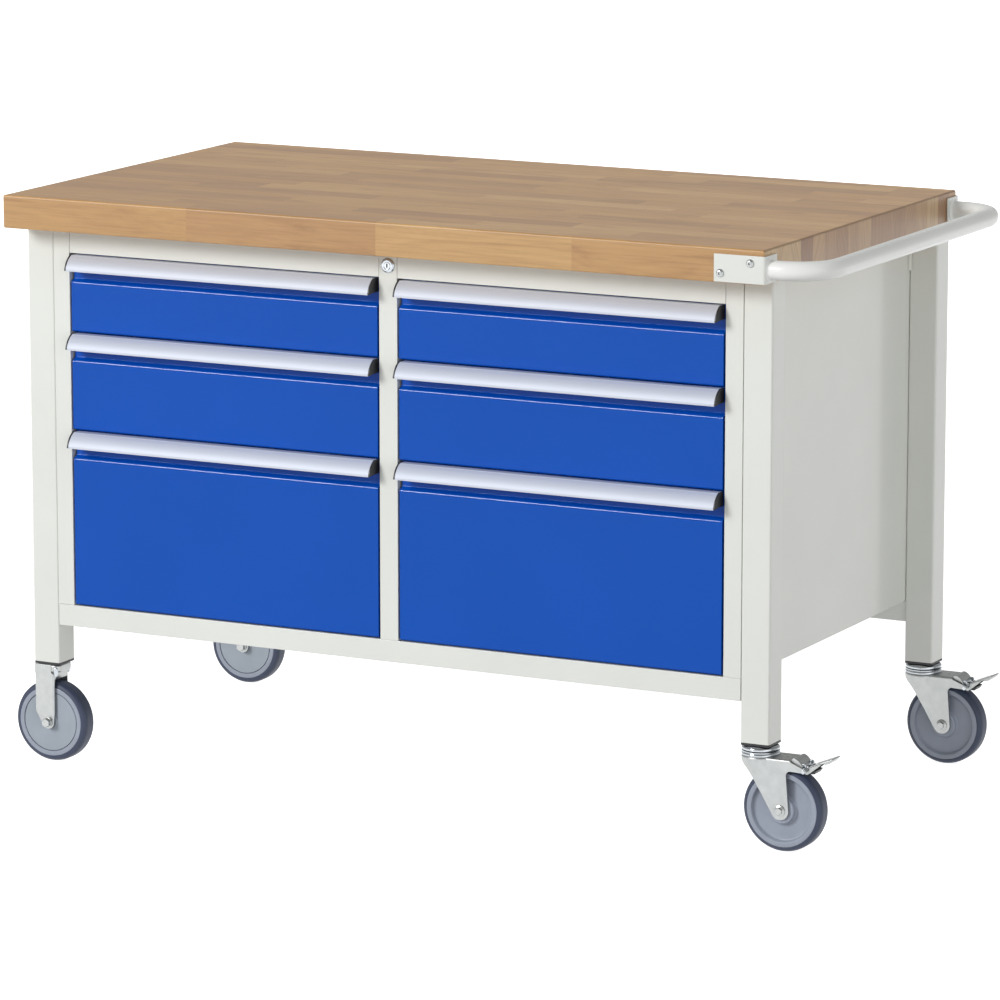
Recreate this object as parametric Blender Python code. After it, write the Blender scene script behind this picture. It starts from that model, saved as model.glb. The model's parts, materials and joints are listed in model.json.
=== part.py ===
"""Mobile workbench with two columns of three drawers, a push bar and four casters.

Bench coordinates, in metres: X runs from the worktop's left end to its right end, Y from its front edge
to its rear edge, Z up from the floor. The empty bench_frame shifts them all, so that the world origin is
the centre of the bounding box's underside.
"""

import math

import bmesh
import bpy

# Clearances
GAP = 0.0003
RUNNING = 0.00008

# Worktop
TOP_LENGTH = 1.250
TOP_DEPTH = 0.700
TOP_THICKNESS = 0.050
TOP_HEIGHT = 0.880
TOP_EDGE = 0.003
TOP_UNDERSIDE = TOP_HEIGHT - TOP_THICKNESS

# Legs: square tubes, set in from the worktop's ends and front edge
LEG = 0.045
LEG_WALL = 0.002
LEG_CORNER = 0.003
LEG_BOTTOM = 0.157
LEG_INSET = 0.010
CABINET_FRONT = 0.053
LEG_X = (LEG_INSET + LEG / 2, TOP_LENGTH - LEG_INSET - LEG / 2)
LEG_Y = (CABINET_FRONT + LEG / 2, TOP_DEPTH - LEG / 2)
LEG_INNER_X = (LEG_INSET + LEG, TOP_LENGTH - LEG_INSET - LEG)
PLUG_FLANGE = 0.0035
PLUG_INSERT = 0.015

# Cabinet: folded sheet steel between the legs
SHEET = 0.0015
PANEL_OUTER_X = LEG_INSET + LEG + GAP
PANEL_REAR = 0.692
STILE_EDGE_X = 0.083
STILE_RETURN = 0.015
POST_X = (0.610, 0.640)
RAIL_BOTTOM = 0.217
RAIL_TOP = 0.250
RAIL_DEPTH = 0.030
RAIL_WALL = 0.002
OPENING_TOP = 0.791
TOP_RAIL_FLANGE = 0.018
BACK_Y = 0.6930
BACK_RAIL_FRONT = 0.660
FLOOR_TOP = 0.2497
FLOOR_SHEET = 0.0012

# Drawers: pitch of each row from the top, and what each drawer is made of
DRAWER_PITCHES = (0.120, 0.150, 0.270)
COLUMNS = (("left", STILE_EDGE_X, POST_X[0]), ("right", POST_X[1], TOP_LENGTH - STILE_EDGE_X))
ROWS = ("top", "middle", "bottom")
FRONT_SIDE_GAP = 0.003
FRONT_BOTTOM_GAP = 0.00075
FRONT_TOP_GAP = 0.0015
FACE_TOP_DROP = 0.0435
RECESS_DROP = 0.0395
RECESS_DEPTH = 0.008
FRONT_RETURN = 0.012
TRAY_SIDE_GAP = 0.013
TRAY_REAR = 0.640
TRAY_BOTTOM_GAP = 0.012
TRAY_TOP_GAP = 0.030
RUNNER_LIFT = 0.030
RUNNER_HEIGHT = 0.045
RUNNER_REACH = 0.0115
RUNNER_SPAN_Y = (0.070, 0.660)

# Handle: a curved aluminium profile along the top of each drawer front
HANDLE_END_GAP = 0.0040
HANDLE_WALL = 0.002
HANDLE_TOP_DROP = 0.0022
HANDLE_FLANGE_DROP = 0.0232
HANDLE_ARC_RADIUS = 0.0312
HANDLE_ARC_CENTRE = (0.0603, -0.0304)
HANDLE_ARC_DEGREES = (115.0, 163.0)
HANDLE_LIP_DROP = 0.0245

# Central lock in the divider's front post
LOCK_X = 0.625
LOCK_Z = 0.809
LOCK_COLLAR_RADIUS = 0.011
LOCK_COLLAR_DEPTH = 0.003
LOCK_BODY_RADIUS = 0.0095
LOCK_BODY_DEPTH = 0.022
LOCK_CYLINDER_RADIUS = 0.005
LOCK_CYLINDER_PROUD = 0.004

# Push bar on the right-hand end
BAR_RADIUS = 0.014
BAR_WALL = 0.002
BAR_Z = 0.851
BAR_X = 1.330
BAR_END_Y = 0.015
BAR_BEND = 0.060
BRACKET_SHEET = 0.0027
BRACKET_LEFT = 1.1735
BRACKET_SIDE_LENGTH = 0.038
BRACKET_Z = (0.8316, 0.8715)
BRACKET_BEND = 0.004

# Casters
WHEEL_RADIUS = 0.0625
WHEEL_HALF_WIDTH = 0.016
HUB_HALF_WIDTH = 0.018
HUB_RADIUS = 0.020
DISC_HALF_WIDTH = 0.012
DISC_RADIUS = 0.046
RIM_RADII = (0.048, 0.0545)
TREAD_CORNER = (0.0605, 0.0125)
TREAD_HALF_WIDTH = 0.006
AXLE_RADIUS = 0.006
FORK_HALF_WIDTH = 0.022
FORK_INNER_HALF = 0.019
FORK_TOP = 0.1530 - GAP
CROWN_SHEET = 0.003
FIXED_FORK_FRONT_EDGE = (-0.0215, 0.078)
FIXED_FORK_END_RADIUS = 0.0105
FIXED_FORK_SHOULDER = 0.138
TRAIL = 0.040
SWIVEL_FORK_TOP = 0.138
SWIVEL_FORK_FRONT_EDGE = (-0.0270, 0.1350)
SWIVEL_CROWN_UNDERSIDE = 0.1345
SWIVEL_CROWN_REAR = 0.053
SWIVEL_END_RADIUS = 0.013
ARM_CORNER = (0.058, 0.1125)
ARM_CORNER_RADIUS = 0.008
ARM_END = (
    (0.0785, 0.1180),
    (0.0825, 0.1185),
    (0.0830, 0.1260),
    (0.0780, 0.1295),
    (0.0680, 0.1310),
    (0.0583, 0.1340),
    (0.0525, SWIVEL_FORK_TOP),
)
HEAD_RADIUS = 0.028
HEAD_BOTTOM = 0.1455
HEAD_SHOULDER = 0.1465
HEAD_CHAMFER = 0.003
KINGPIN_END = 0.129
KINGPIN_BORE_Z = (0.120, 0.150)
RING_RADIUS = 0.0275
RING_TOP = 0.1450
RING_BOTTOM = 0.1365
PEDAL_PIVOT = (0.076, 0.1235)
PEDAL_PIN_RADIUS = 0.003
PEDAL_HALF_WIDTH = 0.015
PEDAL_PIN_PROUD = 0.001
BOLT_HEAD_RADIUS = 0.009
BOLT_HEAD_DEPTH = 0.005

# Side view of the foot brake, from its pivot: the tongue to the right, the cam's cover plate to the left
PEDAL_OUTLINE = (
    (-0.0045, -0.0045),
    (0.0023, -0.0050),
    (0.0090, -0.0020),
    (0.0211, 0.0087),
    (0.0362, 0.0132),
    (0.0420, 0.0200),
    (0.0415, 0.0218),
    (0.0260, 0.0152),
    (0.0070, 0.0078),
    (-0.0020, 0.0085),
    (-0.0080, 0.0150),
    (-0.0155, 0.0170),
    (-0.0205, 0.0150),
    (-0.0190, 0.0130),
    (-0.0145, 0.0140),
    (-0.0090, 0.0105),
    (-0.0065, 0.0035),
)

# The bounding box runs from the left wheels to the push bar, and from the front bracket to the rear swivel.
BOX_X = (LEG_X[0] - WHEEL_RADIUS, BAR_X + BAR_RADIUS)
BOX_Y = (-BRACKET_SHEET - GAP, LEG_Y[1] + HEAD_RADIUS)
WORLD_SHIFT = (-(BOX_X[0] + BOX_X[1]) / 2, -(BOX_Y[0] + BOX_Y[1]) / 2, 0.0)

# Sides of a full circle, and of a bend
ROUND = 32
SMALL_ROUND = 24
BAR_ROUND = 16
BEND_STEPS = 8
SMALL_BEND_STEPS = 4


def clear_scene():
    for obj in list(bpy.data.objects):
        bpy.data.objects.remove(obj)


def principled(name, colour, roughness, metallic=0.0):
    material = bpy.data.materials.new(name)
    material.use_nodes = True
    shader = material.node_tree.nodes["Principled BSDF"]
    shader.inputs["Base Color"].default_value = (*colour, 1.0)
    shader.inputs["Roughness"].default_value = roughness
    shader.inputs["Metallic"].default_value = metallic
    return material


# Outlines: lists of (u, v) points in the plane across an axis


def arc(centre, radius, start, end, steps):
    """Points on a circle from one angle to another, in degrees, both ends included."""
    points = []
    for step in range(steps + 1):
        angle = math.radians(start + (end - start) * step / steps)
        points.append((centre[0] + radius * math.cos(angle), centre[1] + radius * math.sin(angle)))
    return points


def circle(radius, count=ROUND, centre=(0.0, 0.0)):
    return arc(centre, radius, 0.0, 360.0, count)[:-1]


def rectangle(low_u, low_v, high_u, high_v):
    return [(low_u, low_v), (high_u, low_v), (high_u, high_v), (low_u, high_v)]


def rounded_square(centre, side, radius, steps=3):
    points = []
    reach = side / 2 - radius
    for turn, (sign_u, sign_v) in enumerate(((1, 1), (-1, 1), (-1, -1), (1, -1))):
        corner = (centre[0] + sign_u * reach, centre[1] + sign_v * reach)
        points += arc(corner, radius, 90 * turn, 90 * turn + 90, steps)
    return points


def sheet(path, thickness):
    """Closed outline of a folded sheet: the path, and the same path moved to its right, with mitred folds."""
    normals = []
    for (u0, v0), (u1, v1) in zip(path, path[1:]):
        length = math.hypot(u1 - u0, v1 - v0)
        normals.append(((v1 - v0) / length, (u0 - u1) / length))
    moved = []
    for index, (u, v) in enumerate(path):
        before = normals[max(index - 1, 0)]
        after = normals[min(index, len(normals) - 1)]
        mitre = 1 + before[0] * after[0] + before[1] * after[1]
        shift_u = (before[0] + after[0]) / mitre
        shift_v = (before[1] + after[1]) / mitre
        moved.append((u + thickness * shift_u, v + thickness * shift_v))
    return list(path) + moved[::-1]


def mirrored(outline, middle, index):
    """The outline reflected about u = middle (index 0) or v = middle (index 1)."""
    if index == 0:
        return [(2 * middle - u, v) for u, v in outline]
    return [(u, 2 * middle - v) for u, v in outline]


# Solids


def in_space(u, v, along, axis):
    if axis == "X":
        return (along, u, v)
    if axis == "Y":
        return (u, along, v)
    return (u, v, along)


def loft(sections, axis, ring=False):
    """Mesh through outlines with equal point counts. A ring joins the last to the first, for a tube."""
    mesh = bmesh.new()
    loops = []
    for outline, along in sections:
        loops.append([mesh.verts.new(in_space(u, v, along, axis)) for u, v in outline])
    pairs = list(zip(loops, loops[1:]))
    if ring:
        pairs.append((loops[-1], loops[0]))
    for first, second in pairs:
        for index in range(len(first)):
            following = (index + 1) % len(first)
            mesh.faces.new((first[index], first[following], second[following], second[index]))
    if not ring:
        mesh.faces.new(loops[0])
        mesh.faces.new(loops[-1])
    bmesh.ops.recalc_face_normals(mesh, faces=mesh.faces)
    return mesh


def prism(outline, axis, start, end):
    return loft([(outline, start), (outline, end)], axis)


def tube(outer, inner, axis, start, end):
    return loft([(outer, start), (outer, end), (inner, end), (inner, start)], axis, ring=True)


def turned(profile, axis, count=ROUND, ring=False):
    """Mesh turned about the axis, from (radius, place along it) pairs."""
    return loft([(circle(radius, count), along) for radius, along in profile], axis, ring)


def place(name, mesh_data, material, parent, location=(0.0, 0.0, 0.0)):
    mesh = bpy.data.meshes.new(name)
    mesh_data.to_mesh(mesh)
    mesh_data.free()
    mesh.materials.append(material)
    mesh.shade_smooth()
    mesh.set_sharp_from_angle(angle=math.radians(30))
    obj = bpy.data.objects.new(name, mesh)
    bpy.context.scene.collection.objects.link(obj)
    obj.parent = parent
    obj.location = location
    return obj


def empty(name, location, parent=None):
    obj = bpy.data.objects.new(name, None)
    bpy.context.scene.collection.objects.link(obj)
    obj.parent = parent
    obj.location = location
    return obj


def combine(target, tool_mesh, operation):
    """Cuts the tool's shape from the target, or adds it, with the tool in the target's own coordinates."""
    tool = place(f"{target.name}_tool_{len(target.modifiers)}", tool_mesh, target.data.materials[0], target)
    tool.hide_render = True
    tool.display_type = "WIRE"
    modifier = target.modifiers.new(tool.name, "BOOLEAN")
    modifier.operation = operation
    modifier.object = tool


# Frame and cabinet


def build_worktop(bench, materials):
    outline = rectangle(0.0, 0.0, TOP_LENGTH, TOP_DEPTH)
    worktop = place("worktop", prism(outline, "Z", TOP_UNDERSIDE, TOP_HEIGHT), materials["beech"], bench)
    bevel = worktop.modifiers.new("rounded_edges", "BEVEL")
    bevel.width = TOP_EDGE
    bevel.segments = 3


def build_legs(bench, materials):
    for side, x in zip(("left", "right"), LEG_X):
        for end, y in zip(("front", "rear"), LEG_Y):
            outer = rounded_square((x, y), LEG, LEG_CORNER)
            inner = rounded_square((x, y), LEG - 2 * LEG_WALL, LEG_CORNER - LEG_WALL)
            leg = tube(outer, inner, "Z", LEG_BOTTOM, TOP_UNDERSIDE - GAP)
            place(f"leg_{end}_{side}", leg, materials["grey_paint"], bench)
            insert = rounded_square((x, y), LEG - 2 * (LEG_WALL + GAP), LEG_CORNER - LEG_WALL)
            flange_top = LEG_BOTTOM - GAP
            sections = (
                (outer, flange_top - PLUG_FLANGE),
                (outer, flange_top),
                (insert, flange_top),
                (insert, flange_top + PLUG_INSERT),
            )
            place(f"leg_plug_{end}_{side}", loft(sections, "Z"), materials["black_plastic"], bench)


def build_cabinet(bench, materials):
    paint = materials["grey_paint"]
    bottom = RAIL_TOP + GAP
    top = TOP_UNDERSIDE - GAP
    panel = sheet(
        (
            (STILE_EDGE_X - GAP, CABINET_FRONT + STILE_RETURN),
            (STILE_EDGE_X - GAP, CABINET_FRONT),
            (PANEL_OUTER_X, CABINET_FRONT),
            (PANEL_OUTER_X, PANEL_REAR),
        ),
        SHEET,
    )
    place("side_panel_left", prism(panel, "Z", bottom, top), paint, bench)
    opposite = mirrored(panel, TOP_LENGTH / 2, 0)
    place("side_panel_right", prism(opposite, "Z", bottom, top), paint, bench)

    channel = sheet(
        (
            (POST_X[0] + GAP, PANEL_REAR),
            (POST_X[0] + GAP, CABINET_FRONT),
            (POST_X[1] - GAP, CABINET_FRONT),
            (POST_X[1] - GAP, PANEL_REAR),
        ),
        -SHEET,
    )
    divider = place("centre_divider", prism(channel, "Z", bottom, top), paint, bench)
    hole = circle(LOCK_BODY_RADIUS + GAP, SMALL_ROUND, (LOCK_X, LOCK_Z))
    combine(divider, prism(hole, "Y", CABINET_FRONT - SHEET, CABINET_FRONT + 2 * SHEET), "DIFFERENCE")

    outer = rectangle(CABINET_FRONT, RAIL_BOTTOM, CABINET_FRONT + RAIL_DEPTH, RAIL_TOP)
    inner = rectangle(
        CABINET_FRONT + RAIL_WALL,
        RAIL_BOTTOM + RAIL_WALL,
        CABINET_FRONT + RAIL_DEPTH - RAIL_WALL,
        RAIL_TOP - RAIL_WALL,
    )
    rail = tube(outer, inner, "X", LEG_INNER_X[0] + GAP, LEG_INNER_X[1] - GAP)
    place("bottom_rail", rail, paint, bench)

    top_rail = sheet(
        (
            (CABINET_FRONT + TOP_RAIL_FLANGE, OPENING_TOP),
            (CABINET_FRONT, OPENING_TOP),
            (CABINET_FRONT, top),
            (CABINET_FRONT + TOP_RAIL_FLANGE, top),
        ),
        SHEET,
    )
    for side, low_x, high_x in COLUMNS:
        rail = prism(top_rail, "X", low_x + GAP, high_x - GAP)
        place(f"top_rail_{side}", rail, paint, bench)

    back = sheet(
        (
            (BACK_RAIL_FRONT, RAIL_TOP),
            (BACK_RAIL_FRONT, RAIL_BOTTOM),
            (BACK_Y + SHEET, RAIL_BOTTOM),
            (BACK_Y + SHEET, top),
        ),
        -SHEET,
    )
    place("back_panel", prism(back, "X", LEG_INNER_X[0] + GAP, LEG_INNER_X[1] - GAP), paint, bench)

    floor_inset = PANEL_OUTER_X + SHEET + GAP
    floor_outline = rectangle(
        floor_inset,
        CABINET_FRONT + RAIL_DEPTH + GAP,
        TOP_LENGTH - floor_inset,
        BACK_RAIL_FRONT - GAP,
    )
    place("floor_panel", prism(floor_outline, "Z", FLOOR_TOP - FLOOR_SHEET, FLOOR_TOP), paint, bench)


def build_lock(bench, materials):
    joint = (LOCK_X, CABINET_FRONT, LOCK_Z)
    bore = LOCK_CYLINDER_RADIUS + RUNNING
    housing = turned(
        (
            (bore, -LOCK_COLLAR_DEPTH),
            (LOCK_COLLAR_RADIUS, -LOCK_COLLAR_DEPTH),
            (LOCK_COLLAR_RADIUS, -GAP),
            (LOCK_BODY_RADIUS, -GAP),
            (LOCK_BODY_RADIUS, LOCK_BODY_DEPTH),
            (bore, LOCK_BODY_DEPTH),
        ),
        "Y",
        SMALL_ROUND,
        ring=True,
    )
    place("lock_housing", housing, materials["bright_steel"], bench, joint)
    cylinder = turned(
        (
            (LOCK_CYLINDER_RADIUS, -LOCK_COLLAR_DEPTH - GAP),
            (LOCK_CYLINDER_RADIUS, LOCK_BODY_DEPTH + LOCK_CYLINDER_PROUD),
        ),
        "Y",
        SMALL_ROUND,
    )
    place("lock_cylinder", cylinder, materials["bright_steel"], bench, joint)


# Drawers


def drawer_levels():
    """(row, bottom, top) of each row of drawers, from the top row down."""
    levels = []
    top = OPENING_TOP
    for row, pitch in zip(ROWS, DRAWER_PITCHES):
        levels.append((row, top - pitch, top))
        top -= pitch
    return levels


def build_runners(bench, materials):
    """One sheet for each side of each column, with a C-shaped channel for each drawer."""
    steel = materials["zinc"]
    flanges = []
    for _, low, _ in drawer_levels():
        flanges += [low + RUNNER_LIFT + RUNNER_HEIGHT, low + RUNNER_LIFT + SHEET]
    sheet_low = OPENING_TOP - sum(DRAWER_PITCHES) + RUNNER_LIFT / 2
    sheet_high = OPENING_TOP - RUNNER_LIFT / 2

    def comb(back, front, tip):
        outline = [(back, sheet_low), (back, sheet_high), (front, sheet_high)]
        for level in flanges:
            outline += [(front, level), (tip, level), (tip, level - SHEET), (front, level - SHEET)]
        return outline + [(front, sheet_low)]

    outer_back = PANEL_OUTER_X + SHEET + GAP
    outer = comb(outer_back, outer_back + SHEET, STILE_EDGE_X + RUNNER_REACH)
    inner_back = POST_X[0] - GAP
    inner = comb(inner_back, inner_back - SHEET, POST_X[0] - RUNNER_REACH)
    middle = TOP_LENGTH / 2
    outlines = (
        ("left_outer", outer),
        ("left_inner", inner),
        ("right_inner", mirrored(inner, middle, 0)),
        ("right_outer", mirrored(outer, middle, 0)),
    )
    for name, outline in outlines:
        place(f"runners_{name}", prism(outline, "Y", *RUNNER_SPAN_Y), steel, bench)


def tray_mesh(low_x, high_x, low, high):
    front = CABINET_FRONT + RECESS_DEPTH + SHEET + GAP
    outer = rectangle(low_x, front, high_x, TRAY_REAR)
    inner = rectangle(low_x + SHEET, front + SHEET, high_x - SHEET, TRAY_REAR - SHEET)
    return loft(((inner, low + SHEET), (inner, high), (outer, high), (outer, low)), "Z")


def front_mesh(low_x, high_x, low, high):
    """A flat face that folds back under the handle, into a recess for the fingers."""
    recess_y = CABINET_FRONT + RECESS_DEPTH
    outline = sheet(
        (
            (CABINET_FRONT + FRONT_RETURN, low + FRONT_BOTTOM_GAP),
            (CABINET_FRONT, low + FRONT_BOTTOM_GAP),
            (CABINET_FRONT, high - FACE_TOP_DROP),
            (recess_y, high - RECESS_DROP),
            (recess_y, high - FRONT_TOP_GAP),
        ),
        SHEET,
    )
    return prism(outline, "X", low_x, high_x)


def handle_mesh(low_x, high_x, high):
    flange_y = CABINET_FRONT + RECESS_DEPTH - GAP
    centre = (HANDLE_ARC_CENTRE[0], high + HANDLE_ARC_CENTRE[1])
    curve = arc(centre, HANDLE_ARC_RADIUS, *HANDLE_ARC_DEGREES, BEND_STEPS)
    path = [(flange_y, high - HANDLE_FLANGE_DROP), (flange_y, high - HANDLE_TOP_DROP)]
    path += curve
    path.append((curve[-1][0], high - HANDLE_LIP_DROP))
    return prism(sheet(path, -HANDLE_WALL), "X", low_x, high_x)


def build_drawers(bench, materials):
    for side, low_x, high_x in COLUMNS:
        for row, low, high in drawer_levels():
            name = f"drawer_{row}_{side}"
            tray = tray_mesh(
                low_x + TRAY_SIDE_GAP,
                high_x - TRAY_SIDE_GAP,
                low + TRAY_BOTTOM_GAP,
                high - TRAY_TOP_GAP,
            )
            place(f"{name}_tray", tray, materials["grey_paint"], bench)
            front_low_x = low_x + FRONT_SIDE_GAP
            front_high_x = high_x - FRONT_SIDE_GAP
            front = front_mesh(front_low_x, front_high_x, low, high)
            place(f"{name}_front", front, materials["blue_paint"], bench)
            handle = handle_mesh(front_low_x + HANDLE_END_GAP, front_high_x - HANDLE_END_GAP, high)
            place(f"{name}_handle", handle, materials["aluminium"], bench)


# Push bar


def bar_path():
    """(centre, direction) of each section of the push bar, in the plane Z = BAR_Z."""
    start = TOP_LENGTH + GAP + BRACKET_SHEET + GAP
    sections = [((start, BAR_END_Y), 0.0)]
    for end, turn in ((BAR_END_Y + BAR_BEND, -90.0), (TOP_DEPTH - BAR_END_Y - BAR_BEND, 0.0)):
        bend = arc((BAR_X - BAR_BEND, end), BAR_BEND, turn, turn + 90.0, BEND_STEPS)
        for step, point in enumerate(bend):
            sections.append((point, turn + 90.0 + 90.0 * step / BEND_STEPS))
    sections.append(((start, TOP_DEPTH - BAR_END_Y), 180.0))
    return sections


def build_push_bar(bench, materials):
    paint = materials["grey_paint"]
    mesh = bmesh.new()
    skins = []
    for radius in (BAR_RADIUS, BAR_RADIUS - BAR_WALL):
        loops = []
        for (x, y), angle in bar_path():
            side_x = -math.sin(math.radians(angle))
            side_y = math.cos(math.radians(angle))
            around = circle(radius, BAR_ROUND)
            loops.append([mesh.verts.new((x + u * side_x, y + u * side_y, BAR_Z + v)) for u, v in around])
        skins.append(loops)
    both_skins = skins[0] + skins[1][::-1]
    for first, second in zip(both_skins, both_skins[1:] + both_skins[:1]):
        for index in range(len(first)):
            following = (index + 1) % len(first)
            mesh.faces.new((first[index], first[following], second[following], second[index]))
    bmesh.ops.recalc_face_normals(mesh, faces=mesh.faces)
    place("push_bar", mesh, paint, bench)

    face = -GAP - BRACKET_SHEET
    end_x = TOP_LENGTH + GAP + BRACKET_SHEET
    bend = arc((end_x - BRACKET_BEND, face + BRACKET_BEND), BRACKET_BEND, -90.0, 0.0, SMALL_BEND_STEPS)
    path = [(BRACKET_LEFT, face)] + bend + [(end_x, BRACKET_SIDE_LENGTH)]
    outline = sheet(path, -BRACKET_SHEET)
    place("push_bar_bracket_front", prism(outline, "Z", *BRACKET_Z), paint, bench)
    opposite = mirrored(outline, TOP_DEPTH / 2, 1)
    place("push_bar_bracket_rear", prism(opposite, "Z", *BRACKET_Z), paint, bench)


# Casters. Each is built about the vertical line through its leg, with its fork and wheel in place.


def wheel_mesh():
    half = (
        (AXLE_RADIUS + RUNNING, HUB_HALF_WIDTH),
        (HUB_RADIUS, HUB_HALF_WIDTH),
        (HUB_RADIUS, DISC_HALF_WIDTH),
        (DISC_RADIUS, DISC_HALF_WIDTH),
        (RIM_RADII[0], WHEEL_HALF_WIDTH),
        (RIM_RADII[1], WHEEL_HALF_WIDTH),
        TREAD_CORNER,
        (WHEEL_RADIUS, TREAD_HALF_WIDTH),
    )
    other = [(radius, -along) for radius, along in half[::-1]]
    return turned(list(half) + other, "Y", ring=True)


def axle_mesh():
    reach = FORK_HALF_WIDTH + GAP
    return turned(
        (
            (BOLT_HEAD_RADIUS, -reach - BOLT_HEAD_DEPTH),
            (BOLT_HEAD_RADIUS, -reach),
            (AXLE_RADIUS, -reach),
            (AXLE_RADIUS, reach),
            (BOLT_HEAD_RADIUS, reach),
            (BOLT_HEAD_RADIUS, reach + BOLT_HEAD_DEPTH),
        ),
        "Y",
        SMALL_ROUND,
    )


def cut_bore(fork, radius, x, z):
    """A round hole through both sides of a fork."""
    bore = prism(circle(radius, SMALL_ROUND, (x, z)), "Y", -2 * FORK_HALF_WIDTH, 2 * FORK_HALF_WIDTH)
    combine(fork, bore, "DIFFERENCE")


def build_wheel(name, caster, trail, materials):
    centre = (trail, 0.0, WHEEL_RADIUS)
    place(f"wheel_{name}", wheel_mesh(), materials["tyre"], caster, centre)
    place(f"axle_{name}", axle_mesh(), materials["zinc"], caster, centre)


def build_fixed_caster(name, caster, materials):
    half = LEG / 2
    outline = [(-half, FORK_TOP), (-half, FORK_TOP - CROWN_SHEET), FIXED_FORK_FRONT_EDGE]
    outline += arc((0.0, WHEEL_RADIUS), FIXED_FORK_END_RADIUS, 180.0, 360.0, BEND_STEPS)
    outline.append((FIXED_FORK_END_RADIUS, FIXED_FORK_SHOULDER))
    outline += [(half, FORK_TOP - CROWN_SHEET), (half, FORK_TOP)]
    side_view = prism(outline, "Y", -FORK_HALF_WIDTH, FORK_HALF_WIDTH)
    fork = place(f"fork_{name}", side_view, materials["zinc"], caster)
    slot = rectangle(-2 * half, 0.0, 2 * half, FORK_TOP - CROWN_SHEET)
    combine(fork, prism(slot, "Y", -FORK_INNER_HALF, FORK_INNER_HALF), "DIFFERENCE")
    cut_bore(fork, AXLE_RADIUS + GAP, 0.0, WHEEL_RADIUS)
    build_wheel(name, caster, 0.0, materials)


def swivel_fork_outline():
    """Side view: a leg that slants back to the axle, and a trailing arm that carries the brake pedal."""
    outline = [(SWIVEL_FORK_FRONT_EDGE[0], SWIVEL_FORK_TOP), SWIVEL_FORK_FRONT_EDGE]
    outline += arc((TRAIL, WHEEL_RADIUS), SWIVEL_END_RADIUS, 210.0, 360.0, BEND_STEPS)
    outline += arc(ARM_CORNER, ARM_CORNER_RADIUS, 180.0, 90.0, SMALL_BEND_STEPS)
    return outline + list(ARM_END)


def swivel_fork_slot():
    """Side view of the space between the fork's sides; it opens upwards behind the crown, over the brake."""
    front = -0.5 * LEG - TRAIL
    rear = 3 * TRAIL
    return [
        (front, 0.0),
        (rear, 0.0),
        (rear, LEG_BOTTOM),
        (SWIVEL_CROWN_REAR, LEG_BOTTOM),
        (SWIVEL_CROWN_REAR, SWIVEL_CROWN_UNDERSIDE),
        (front, SWIVEL_CROWN_UNDERSIDE),
    ]


def build_swivel_caster(name, caster, materials):
    steel = materials["zinc"]
    head = turned(
        (
            (HEAD_RADIUS, FORK_TOP),
            (HEAD_RADIUS, HEAD_SHOULDER),
            (HEAD_RADIUS - HEAD_CHAMFER, HEAD_BOTTOM),
            (AXLE_RADIUS, HEAD_BOTTOM),
            (AXLE_RADIUS, KINGPIN_END),
        ),
        "Z",
    )
    place(f"swivel_head_{name}", head, steel, caster)

    side_view = prism(swivel_fork_outline(), "Y", -FORK_HALF_WIDTH, FORK_HALF_WIDTH)
    fork = place(f"fork_{name}", side_view, steel, caster)
    slot = prism(swivel_fork_slot(), "Y", -FORK_INNER_HALF, FORK_INNER_HALF)
    combine(fork, slot, "DIFFERENCE")
    combine(fork, turned(((RING_RADIUS, RING_BOTTOM), (RING_RADIUS, RING_TOP)), "Z"), "UNION")
    pin_hole = turned([(AXLE_RADIUS + RUNNING, z) for z in KINGPIN_BORE_Z], "Z")
    combine(fork, pin_hole, "DIFFERENCE")
    cut_bore(fork, AXLE_RADIUS + GAP, TRAIL, WHEEL_RADIUS)
    cut_bore(fork, PEDAL_PIN_RADIUS + RUNNING, *PEDAL_PIVOT)
    build_wheel(name, caster, TRAIL, materials)

    pivot_x, pivot_z = PEDAL_PIVOT
    pedal_mesh = prism(PEDAL_OUTLINE, "Y", -PEDAL_HALF_WIDTH, PEDAL_HALF_WIDTH)
    pedal = place(f"brake_pedal_{name}", pedal_mesh, steel, caster, (pivot_x, 0.0, pivot_z))
    pin_half = FORK_HALF_WIDTH + PEDAL_PIN_PROUD
    pin = prism(circle(PEDAL_PIN_RADIUS, SMALL_ROUND), "Y", -pin_half, pin_half)
    combine(pedal, pin, "UNION")


def main():
    clear_scene()
    materials = {
        "beech": principled("beech", (0.55, 0.36, 0.19), 0.45),
        "grey_paint": principled("grey_paint", (0.72, 0.73, 0.68), 0.45),
        "blue_paint": principled("blue_paint", (0.02, 0.10, 0.48), 0.40),
        "aluminium": principled("aluminium", (0.75, 0.76, 0.80), 0.35, 1.0),
        "zinc": principled("zinc", (0.68, 0.70, 0.69), 0.40, 1.0),
        "bright_steel": principled("bright_steel", (0.75, 0.75, 0.75), 0.25, 1.0),
        "black_plastic": principled("black_plastic", (0.02, 0.02, 0.02), 0.50),
        "tyre": principled("tyre", (0.10, 0.11, 0.14), 0.60),
    }
    bench = empty("bench_frame", WORLD_SHIFT)
    build_worktop(bench, materials)
    build_legs(bench, materials)
    build_cabinet(bench, materials)
    build_lock(bench, materials)
    build_runners(bench, materials)
    build_drawers(bench, materials)
    build_push_bar(bench, materials)
    for end, y in zip(("front", "rear"), LEG_Y):
        fixed = empty(f"caster_{end}_left", (LEG_X[0], y, 0.0), bench)
        build_fixed_caster(f"{end}_left", fixed, materials)
        swivel = empty(f"caster_{end}_right", (LEG_X[1], y, 0.0), bench)
        build_swivel_caster(f"{end}_right", swivel, materials)


main()
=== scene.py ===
"""The looks of a mobile workbench with drawers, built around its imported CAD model."""

import json
import math

import bmesh
import bpy
from mathutils import Euler, Matrix, Vector

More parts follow.
